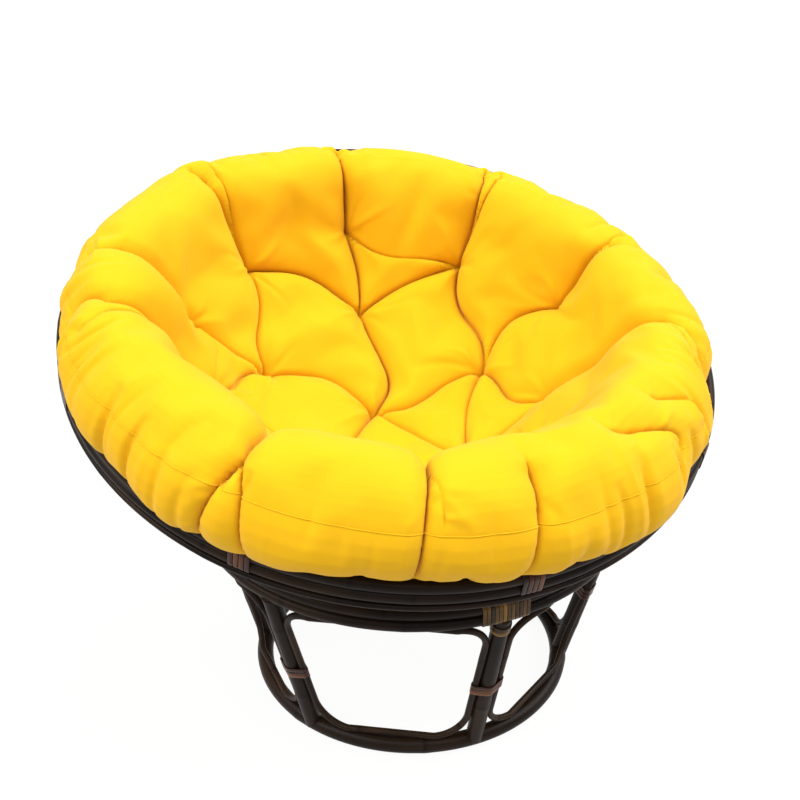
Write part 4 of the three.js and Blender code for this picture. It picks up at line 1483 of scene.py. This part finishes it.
    def tuft_places(self, chart: Chart) -> list[np.ndarray]:
        """Returns the tufts' places on the full puffs' surface."""
        stations = [self.station_of(chart, tuft.azimuth, tuft.radius) for tuft in TUFTS.values()]
        azimuths = np.array([tuft.azimuth for tuft in TUFTS.values()], dtype=float)
        return list(chart.layout.sampled(chart.points, np.array(stations), azimuths))

    def fold_lines(self, chart: Chart) -> list[FoldLine]:
        """Lays each fold on the full puffs' surface, in the order of CREASES."""
        return [self.fold_between(chart, crease) if isinstance(crease.stop, str)
                else self.fold_over_roll(chart, crease) for crease in CREASES]

    def fold_between(self, chart: Chart, crease: Crease) -> FoldLine:
        """Lays a fold between two tufts, deepest at them."""
        share = np.linspace(0.0, 1.0, self.fold_points)
        tufts = TUFTS[crease.start], TUFTS[crease.stop]
        first, last = (flat_point(tuft.azimuth, tuft.radius) for tuft in tufts)
        side = np.array([(last - first)[1], (first - last)[0]]) / np.linalg.norm(last - first)
        bow = crease.bow * np.sin(np.pi * share) + crease.lean * np.sin(2 * np.pi * share)
        flat = first + (last - first) * share[:, None] + side * bow[:, None]
        azimuth = np.degrees(np.arctan2(flat[:, 0], -flat[:, 1]))
        radius = np.linalg.norm(flat, axis=1)
        station = np.array([self.station_of(chart, turn, reach) for turn, reach in zip(azimuth, radius)])
        strength = crease.strength + (1 - crease.strength) * np.abs(2 * share - 1) ** 2.5
        width = np.full(len(share), self.fold_width)
        return FoldLine(chart.layout.sampled(chart.points, station, azimuth), strength, width)

    def fold_over_roll(self, chart: Chart, crease: Crease) -> FoldLine:
        """Lays a fold from a tuft, or from an azimuth on the slope, over the roll, where it fades out."""
        share = np.linspace(0.0, 1.0, self.fold_points)
        start = TUFTS[crease.start] if isinstance(crease.start, str) else None
        begin = start.azimuth if start else crease.start
        first = self.station_of(chart, start.azimuth, start.radius) if start else self.free_start
        swing = (crease.stop - begin + 180.0) % 360.0 - 180.0
        azimuth = begin + swing * smoothstep(0.0, 0.8, share) + crease.bow * np.sin(np.pi * share)
        station = mix(first, crease.reach, share)
        strength = mix(1.0, crease.strength, smoothstep(0.0, 0.6, share))
        strength = strength * (1 - smoothstep(0.85, 1.0, share)) * min(1.0, crease.strength * 1.6)
        if start is None:
            strength = strength * smoothstep(0.0, 0.2, share)
        width = mix(self.fold_width * 0.8, self.roll_fold_width, smoothstep(0.1, 0.6, share))
        return FoldLine(chart.layout.sampled(chart.points, station, azimuth), strength, width)

    def gathered(self, points: np.ndarray, lines: Sequence[FoldLine]) -> np.ndarray:
        """Draws the cover's vertices along its surface into the folds, as a tuck draws cloth in.

        Args:
            points: The vertices on the full puffs' surface.
            lines: The folds.

        Returns:
            The moved vertices, close together in each fold.
        """
        nearest = np.full(len(points), self.gather_reach)
        target = points.copy()
        grip = np.zeros(len(points))
        for line in lines:
            near = line.near(points, self.gather_reach)
            distance, at = nearest_on_line(points[near], line.points)
            closer = distance < nearest[near]
            chosen = near[closer]
            nearest[chosen] = distance[closer]
            target[chosen] = line.place(at[closer])
            grip[chosen] = np.clip(3.0 * line.value(line.strength, at[closer]), 0.0, 1.0)
        share = np.clip(nearest / self.gather_reach, 1e-6, 1.0)
        return points + (target - points) * (grip * (1 - share ** (self.gather_power - 1)))[:, None]

    def folded(self, chart: Chart, points: np.ndarray, lines: Sequence[FoldLine],
               normals: np.ndarray) -> tuple[np.ndarray, np.ndarray]:
        """Presses the folds and tufts into the cover.

        Args:
            chart: The cover's chart.
            points: The gathered vertices.
            lines: The folds.
            normals: The vertices' outward normals.

        Returns:
            The moved points, and how strongly a fold holds each, from 0 to 1.
        """
        layout = chart.layout
        faced = layout.spread(layout.stations) < self.fold_end
        crowd = np.zeros(len(points))
        slit = np.zeros(len(points))
        hold = np.zeros(len(points))
        for line in lines:
            near = line.near(points, line.width.max())
            near = near[faced[near]]
            distance, at = nearest_on_line(points[near], line.points)
            strength, width = line.value(line.strength, at), line.value(line.width, at)
            rise = mix(pillow(distance / (width * self.tight_share)), pillow(distance / width), 0.6)
            crowd[near] += (strength * (1 - rise)) ** 5
            slit_share = np.clip(1 - distance / self.slit_width, 0.0, 1.0)
            hold_share = np.clip(1.8 - distance / self.hold_reach, 0.0, 1.0)
            slit[near] = np.maximum(slit[near], strength * slit_share)
            hold[near] = np.maximum(hold[near], strength * hold_share)
        press = self.depth(layout, points) * np.minimum(crowd ** 0.2, 1.3) + self.slit_depth * slit
        for spot in self.tuft_places(chart):
            distance = np.linalg.norm(points - spot, axis=1)
            press += self.tuft_depth * (1 - pillow(distance / self.tuft_width)) ** 1.3
            hold = np.maximum(hold, np.clip(2.2 - distance / self.hold_reach, 0.0, 1.0))
        return points - normals * press[:, None], hold

    def wrinkle_lines(self, chart: Chart, lines: Sequence[FoldLine]) -> list[FoldLine]:
        """Draws the wrinkles: fans at the tufts, others beside the roll's folds, puckers and pleats.

        Args:
            chart: The cover's chart.
            lines: The folds, in the order of CREASES.

        Returns:
            The wrinkles, with their heights as strengths.
        """
        pen = WrinklePen(chart, np.random.default_rng(self.wrinkle_seed))
        self.draw_fans(pen)
        for crease, line in zip(CREASES, lines):
            if not isinstance(crease.stop, str):
                self.draw_beside(pen, line)
        for stretch in PUCKERS:
            self.draw_puckers(pen, stretch)
        for pleat in PLEATS:
            pen.draw_across(pleat.azimuth, pleat.station, pleat.length, -pleat.depth, pleat.width)
        return pen.drawn

    def draw_fans(self, pen: WrinklePen) -> None:
        """Draws the wrinkles that fan out from each tuft, ridges and dents in turn."""
        uniform = pen.random.uniform
        for tuft in TUFTS.values():
            spot = pen.chart.flat(self.station_of(pen.chart, tuft.azimuth, tuft.radius), tuft.azimuth)
            first = uniform(0.0, 360.0)
            for k in range(self.fan_wrinkles):
                angle = first + (k + uniform(-0.35, 0.35)) * 360.0 / self.fan_wrinkles
                sign = 1.0 if k % 2 else -0.8
                pen.draw(spot + flat_direction(angle) * self.fan_start, angle, uniform(*self.fan_lengths),
                         sign * self.fan_height * uniform(0.5, 1.0), uniform(*self.fan_widths))

    def draw_beside(self, pen: WrinklePen, line: FoldLine) -> None:
        """Draws short wrinkles that leave a fold over the roll to both sides."""
        uniform = pen.random.uniform
        for k in range(self.roll_wrinkles):
            at = uniform(0.35, 0.95) * (len(line.points) - 2)
            here, ahead = (pen.chart.flattened(line.place(np.array([at + step]))[0]) for step in (0.0, 1.0))
            along = math.degrees(math.atan2(*(ahead - here)[::-1]))
            angle = along + uniform(*self.roll_wrinkle_turns) * (1 if k % 2 else -1)
            pen.draw(here, angle, uniform(*self.roll_wrinkle_lengths),
                     self.roll_wrinkle_height * uniform(-0.8, 1.0), uniform(*self.wrinkle_widths))

    def draw_puckers(self, pen: WrinklePen, stretch: Puckers) -> None:
        """Draws a stretch of wrinkles across the roll, dents and lower ridges in turn."""
        uniform = pen.random.uniform
        span = (stretch.last - stretch.first) % 360.0
        count = round(span / stretch.spacing)
        for k in range(count):
            azimuth = stretch.first + (k + uniform(0.15, 0.85)) * span / count
            height = stretch.height * uniform(0.45, 1.0) * (-1.0 if k % 2 else 0.6)
            pen.draw_across(azimuth, uniform(stretch.low, stretch.high), uniform(*self.pucker_lengths),
                            height, uniform(*self.wrinkle_widths))

    def wrinkled(self, chart: Chart, points: np.ndarray, wrinkles: Sequence[FoldLine]) -> np.ndarray:
        """Returns how far wrinkles, lobes of filling and the seam's dent lift each vertex."""
        layout = chart.layout
        station = layout.spread(layout.stations)
        rise = np.zeros(len(points))
        for line in wrinkles:
            near = line.near(points, 2.5 * line.width.max())
            distance, at = nearest_on_line(points[near], line.points)
            fall = np.exp(-(distance / line.value(line.width, at)) ** 2)
            rise[near] += line.value(line.strength, at) * fall
        for lobe in LOBES:
            turn = ((layout.azimuths - lobe.azimuth + 180.0) % 360.0 - 180.0) / lobe.half_turn
            along = (station - lobe.station) / lobe.half_stations
            fall = np.clip(1 - turn ** 2, 0.0, 1.0) ** 2
            rise += lobe.swell * fall * np.clip(1 - along ** 2, 0.0, 1.0) ** 2
        from_seam = layout.spread(chart.reach - chart.reach[layout.rings + layout.side])
        rise -= self.seam_dent * np.exp(-(from_seam / self.seam_width) ** 2)
        return rise * (1 - smoothstep(*self.rim_stations, station))

    def formed(self, layout: Layout, twill: bpy.types.Material) -> tuple[bpy.types.Object, np.ndarray]:
        """Makes the folded cover at a layout, before its cloth settles.

        Args:
            layout: The cover's layout.
            twill: The cover's finish.

        Returns:
            The piece, and how strongly each vertex is held, from 0 to 1.
        """
        points, reach = self.surface(layout)
        faces = layout.faces()
        probe = mesh_object("cover_probe", points, faces, twill)
        normals = vertex_normals(probe.data)
        bpy.data.objects.remove(probe)
        chart = Chart(layout, points, points - normals * self.depth(layout, points)[:, None], reach)
        lines = self.fold_lines(chart)
        drawn_in = self.gathered(points, lines)
        folded, hold = self.folded(chart, drawn_in, lines, normals)
        lift = self.wrinkled(chart, drawn_in, self.wrinkle_lines(chart, lines))
        folded = folded + normals * lift[:, None]
        hold[layout.seam] = np.maximum(hold[layout.seam], self.seam_hold)
        hold[layout.spread(layout.stations) > self.held_from] = 1.0
        length, angle = layout.spread(reach), np.radians(layout.azimuths)
        weave = np.stack([length * np.sin(angle), -length * np.cos(angle), 0 * angle], axis=1) * MM
        cover = mesh_object("seat_cushion_cover", self.in_chair(folded), faces, twill, {"weave": weave})
        return cover, hold

    def in_chair(self, points: np.ndarray) -> np.ndarray:
        """Turns points from the bowl's level frame to the chair's."""
        return TILT_CENTRE + self.bowl.tilted(points - UP * self.bowl.rim_drop)

    def in_bowl(self, points: np.ndarray) -> np.ndarray:
        """Turns points from the chair's frame to the bowl's level one."""
        turn = np.array(Matrix.Rotation(math.radians(-self.bowl.tilt), 3, "X"))
        return (points - TILT_CENTRE) @ turn.T + UP * self.bowl.rim_drop

    def swelling(self, twill: bpy.types.Material) -> np.ndarray:
        """Lets the stuffed cloth swell between its held folds.

        Args:
            twill: The cover's finish.

        Returns:
            How far each vertex of the coarse layout moves.
        """
        cover, hold = self.formed(self.coarse, twill)
        group = cover.vertex_groups.new(name="held")
        levels = np.round(np.clip(self.free_hold + (1 - self.free_hold) * hold, 0.0, 1.0), 2)
        for level in np.unique(levels):
            group.add(np.where(levels == level)[0].tolist(), float(level), "REPLACE")
        before = vertex_places(cover.data)
        cloth = cover.modifiers.new("cloth", "CLOTH")
        settings = cloth.settings
        settings.quality = self.cloth_quality
        settings.mass = self.cloth_mass
        settings.tension_stiffness = self.stretch
        settings.compression_stiffness = self.stretch
        settings.shear_stiffness = self.stretch / 3
        settings.bending_stiffness = self.bend
        settings.tension_damping = self.damping
        settings.compression_damping = self.damping
        settings.air_damping = self.air_damping
        settings.use_pressure = True
        settings.uniform_pressure_force = self.pressure
        settings.vertex_group_mass = group.name
        settings.shrink_min = -self.spare_cloth
        settings.effector_weights.gravity = 0.0
        cloth.collision_settings.use_collision = False
        cloth.collision_settings.use_self_collision = False
        for frame_number in range(1, self.settle_frames + 1):
            bpy.context.scene.frame_set(frame_number)
        shift = evaluated_places(cover) - before
        bpy.context.scene.frame_set(1)
        bpy.data.objects.remove(cover)
        for _ in range(self.smoothing):
            shift = mix(shift, self.coarse.neighbour_mean(shift), self.smoothing_share)
        size = np.linalg.norm(shift, axis=1, keepdims=True)
        log.info("cover swelled %.1f mm at most, %.1f mm on average", size.max(), size.mean())
        return shift * np.minimum(1.0, self.most_shift / np.maximum(size, 1e-6))

    def cleared(self, cover: bpy.types.Object) -> None:
        """Keeps the cover clear of the rim's poles and inside the ribs."""
        points = self.in_bowl(vertex_places(cover.data))
        radius = np.linalg.norm(points[:, :2], axis=1)
        out = points[:, :2] / np.maximum(radius, 1e-6)[:, None]
        height = points[:, 2].copy()
        offset = self.bowl.rim_pole.radius + SEAT_GAP / 2
        need = self.bowl.rim_pole.radius + self.rim_clearance
        for level in (-offset, offset):
            dr, dh = radius - self.bowl.rim_radius, height - level
            push = np.maximum(1.0, need / np.maximum(np.hypot(dr, dh), 1e-6))
            radius, height = self.bowl.rim_radius + dr * push, level + dh * push
        reach = np.hypot(radius, height - self.bowl.rim_drop)
        below = (height < 0.0) & (radius < self.bowl.rim_radius - self.under_margin)
        scale = np.where(below, np.minimum(1.0, self.under_sphere / reach), 1.0)
        radius, height = radius * scale, self.bowl.rim_drop + (height - self.bowl.rim_drop) * scale
        set_vertex_places(cover.data, self.in_chair(np.column_stack([out * radius[:, None], height])))

    def build(self, twill: bpy.types.Material) -> list[bpy.types.Object]:
        """Builds the cushion and returns its pieces."""
        layout = self.fine
        cover, _ = self.formed(layout, twill)
        station = layout.spread(layout.stations)
        shift = self.coarse.sampled(self.swelling(twill), station, layout.azimuths)
        set_vertex_places(cover.data, vertex_places(cover.data) + shift)
        self.cleared(cover)
        add_piece(cover, Body.CUSHION)
        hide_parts("cushion_cover_face", "cushion_cover_underside", "cushion_filling")
        places, rises = vertex_places(cover.data)[layout.seam], vertex_normals(cover.data)[layout.seam]
        welt = swept("seat_cushion_seam", places + rises * self.welt_rise, rises,
                     Section.round(self.welt_radius, 8), True, twill)
        add_piece(welt, Body.CUSHION)
        return [cover, welt]


def vertex_normals(mesh: bpy.types.Mesh) -> np.ndarray:
    """Returns a mesh's vertex normals."""
    normals = np.empty(len(mesh.vertices) * 3, dtype=np.float32)
    mesh.vertices.foreach_get("normal", normals)
    return normals.reshape(-1, 3).astype(float)


def vertex_places(mesh: bpy.types.Mesh) -> np.ndarray:
    """Returns a mesh's vertices in millimetres."""
    places = np.empty(len(mesh.vertices) * 3, dtype=np.float32)
    mesh.vertices.foreach_get("co", places)
    return places.reshape(-1, 3).astype(float) / MM


def set_vertex_places(mesh: bpy.types.Mesh, places: np.ndarray) -> None:
    """Moves a mesh's vertices to places in millimetres."""
    mesh.vertices.foreach_set("co", (places * MM).astype(np.float32).ravel())
    mesh.update()


def evaluated_places(piece: bpy.types.Object) -> np.ndarray:
    """Returns a piece's vertices with its modifiers, in millimetres."""
    shown = piece.evaluated_get(bpy.context.evaluated_depsgraph_get())
    mesh = shown.to_mesh()
    places = vertex_places(mesh)
    shown.to_mesh_clear()
    return places


def flat_point(azimuth: float, radius: float) -> np.ndarray:
    """Returns a point of the level bowl, seen from above."""
    return np.array([radius * math.sin(math.radians(azimuth)), -radius * math.cos(math.radians(azimuth))])


def flat_direction(angle: float) -> np.ndarray:
    """Returns the flat unit vector along an angle."""
    return np.array([math.cos(math.radians(angle)), math.sin(math.radians(angle))])


def pillow(share: np.ndarray) -> np.ndarray:
    """Returns the rise of a stuffed cover beside a fold, 0 at the fold and 1 at the puff's top."""
    return np.sqrt(1.0 - (1.0 - np.clip(share, 0.0, 1.0)) ** 2)


def nearest_on_line(points: np.ndarray, line: np.ndarray) -> tuple[np.ndarray, np.ndarray]:
    """Measures points against a line.

    Args:
        points: The points.
        line: The line's points.

    Returns:
        The distances, and where along the line's points the nearest places lie.
    """
    best = np.full(len(points), np.inf)
    where = np.zeros(len(points))
    for k in range(len(line) - 1):
        span = line[k + 1] - line[k]
        share = np.clip((points - line[k]) @ span / max(float(span @ span), 1e-9), 0.0, 1.0)
        distance = np.linalg.norm(points - line[k] - share[:, None] * span, axis=1)
        closer = distance < best
        best = np.where(closer, distance, best)
        where = np.where(closer, k + share, where)
    return best, where


def smooth_curve(points: np.ndarray, steps: int = 12) -> np.ndarray:
    """Runs a smooth curve through points.

    Args:
        points: The points to pass, one a row.
        steps: How many pieces to cut each stretch in.

    Returns:
        The curve's points.
    """
    spans = np.sqrt(np.linalg.norm(np.diff(points, axis=0), axis=1))
    knots = np.concatenate([[0.0], np.cumsum(spans)])
    slopes = np.gradient(points, knots, axis=0)
    curve = []
    for k in range(len(points) - 1):
        t = np.linspace(0.0, 1.0, steps, endpoint=k == len(points) - 2)[:, None]
        width = knots[k + 1] - knots[k]
        start, stop = 2 * t ** 3 - 3 * t ** 2 + 1, 3 * t ** 2 - 2 * t ** 3
        leave, reach = (t ** 3 - 2 * t ** 2 + t) * width, (t ** 3 - t ** 2) * width
        curve.append(start * points[k] + leave * slopes[k] + stop * points[k + 1] + reach * slopes[k + 1])
    return np.vstack(curve)


def even_curve(points: np.ndarray, count: int) -> np.ndarray:
    """Returns a curve as a number of evenly spaced points."""
    lengths = np.concatenate([[0.0], np.cumsum(np.linalg.norm(np.diff(points, axis=0), axis=1))])
    stops = np.linspace(0.0, lengths[-1], count)
    return np.stack([np.interp(stops, lengths, points[:, k]) for k in range(points.shape[1])], axis=1)


# The studio


@dataclass
class Studio:
    """A pale floor, a dim white surround, three wide soft lights and the camera.

    Attributes:
        floor_size: The floor's side, in metres.
        floor_drop: How far the floor lies below the chair, so that the two don't share a plane.
        target: The place that the camera looks at.
        azimuth: The camera's azimuth.
        elevation: The camera's elevation.
        distance: The camera's distance from its target.
        lens: The camera's focal length.
        surround: The surround's strength.
        light_distance: The lights' distance from the camera's target.
        lights: Each light's name, azimuth, elevation, spread and power.
    """

    floor_size: float = 14.0
    floor_drop: float = 0.2
    target: tuple[float, float, float] = (-18.4, -51.5, 509.1)
    azimuth: float = -25.9
    elevation: float = 28.8
    distance: float = 2200.0
    lens: float = 61.3
    sensor: float = 36.0
    surround: float = 0.31
    light_distance: float = 3000.0
    lights: tuple[tuple[str, float, float, float, float], ...] = (
        ("front_softbox", -18.0, 62.0, 60.0, 1.6), ("left_softbox", -100.0, 47.0, 55.0, 3.2),
        ("right_softbox", 80.0, 47.0, 55.0, 4.0))

    def direction(self, azimuth: float, elevation: float) -> np.ndarray:
        """Returns the unit vector towards a place seen at an azimuth and elevation."""
        rise = math.radians(elevation)
        return outward(azimuth) * math.cos(rise) + UP * math.sin(rise)

    def aimed(self, piece: bpy.types.Object, place: np.ndarray, target: np.ndarray) -> None:
        """Puts a camera or light at a place and turns it to a target, in millimetres."""
        piece.location = Vector(place * MM)
        piece.rotation_euler = Vector((target - place) * MM).to_track_quat("-Z", "Y").to_euler()
        bpy.context.scene.collection.objects.link(piece)

    def build(self, acrylic: bpy.types.Material) -> None:
        """Builds the floor, the surround, the lights and the camera."""
        half = self.floor_size / MM / 2
        corners = np.array([[-half, -half, 0], [half, -half, 0], [half, half, 0], [-half, half, 0]])
        corners = corners - UP * self.floor_drop
        mesh_object("studio_floor", corners, [(0, 1, 2, 3)], acrylic)
        world = bpy.data.worlds.new("surround")
        world.use_nodes = True
        background = world.node_tree.nodes["Background"]
        background.inputs["Color"].default_value = linear("#ffffff")
        background.inputs["Strength"].default_value = self.surround
        bpy.context.scene.world = world
        target = np.array(self.target)
        for name, azimuth, elevation, spread, power in self.lights:
            light = bpy.data.lights.new(name, "SUN")
            light.angle = math.radians(spread)
            light.energy = power
            place = target + self.direction(azimuth, elevation) * self.light_distance
            self.aimed(bpy.data.objects.new(name, light), place, target)
        camera = bpy.data.cameras.new("camera")
        camera.lens = self.lens
        camera.sensor_width = self.sensor
        eye = bpy.data.objects.new("camera", camera)
        self.aimed(eye, target + self.direction(self.azimuth, self.elevation) * self.distance, target)
        bpy.context.scene.camera = eye
        # The default view transform turns the saturated yellow grey
        bpy.context.scene.view_settings.view_transform = "Standard"


def main() -> None:
    """Builds the chair and its studio, and hands them to the frame."""
    logging.basicConfig(level=logging.INFO, format="%(name)s: %(message)s")
    rattan = StainedRattan().build()
    thin = StainedRattan("thin_stained_rattan", "#120c08", "#241911", "#3d2a1a", 0.42).build()
    peel = RattanPeel().build()
    golden = RattanPeel("golden_rattan_peel", "#2a1c0e", "#5a3f1c", "#94702f").build()
    twill = CottonTwill().build()
    log.info("base: %d pieces", len(Base().build(rattan, thin, peel, golden)))
    bowl = Bowl()
    log.info("bowl: %d pieces", len(bowl.build(rattan, peel)))
    log.info("cushion: %d pieces", len(Cushion(bowl).build(twill)))
    Studio().build(OpalAcrylic().build())


if __name__ == "__main__":
    main()
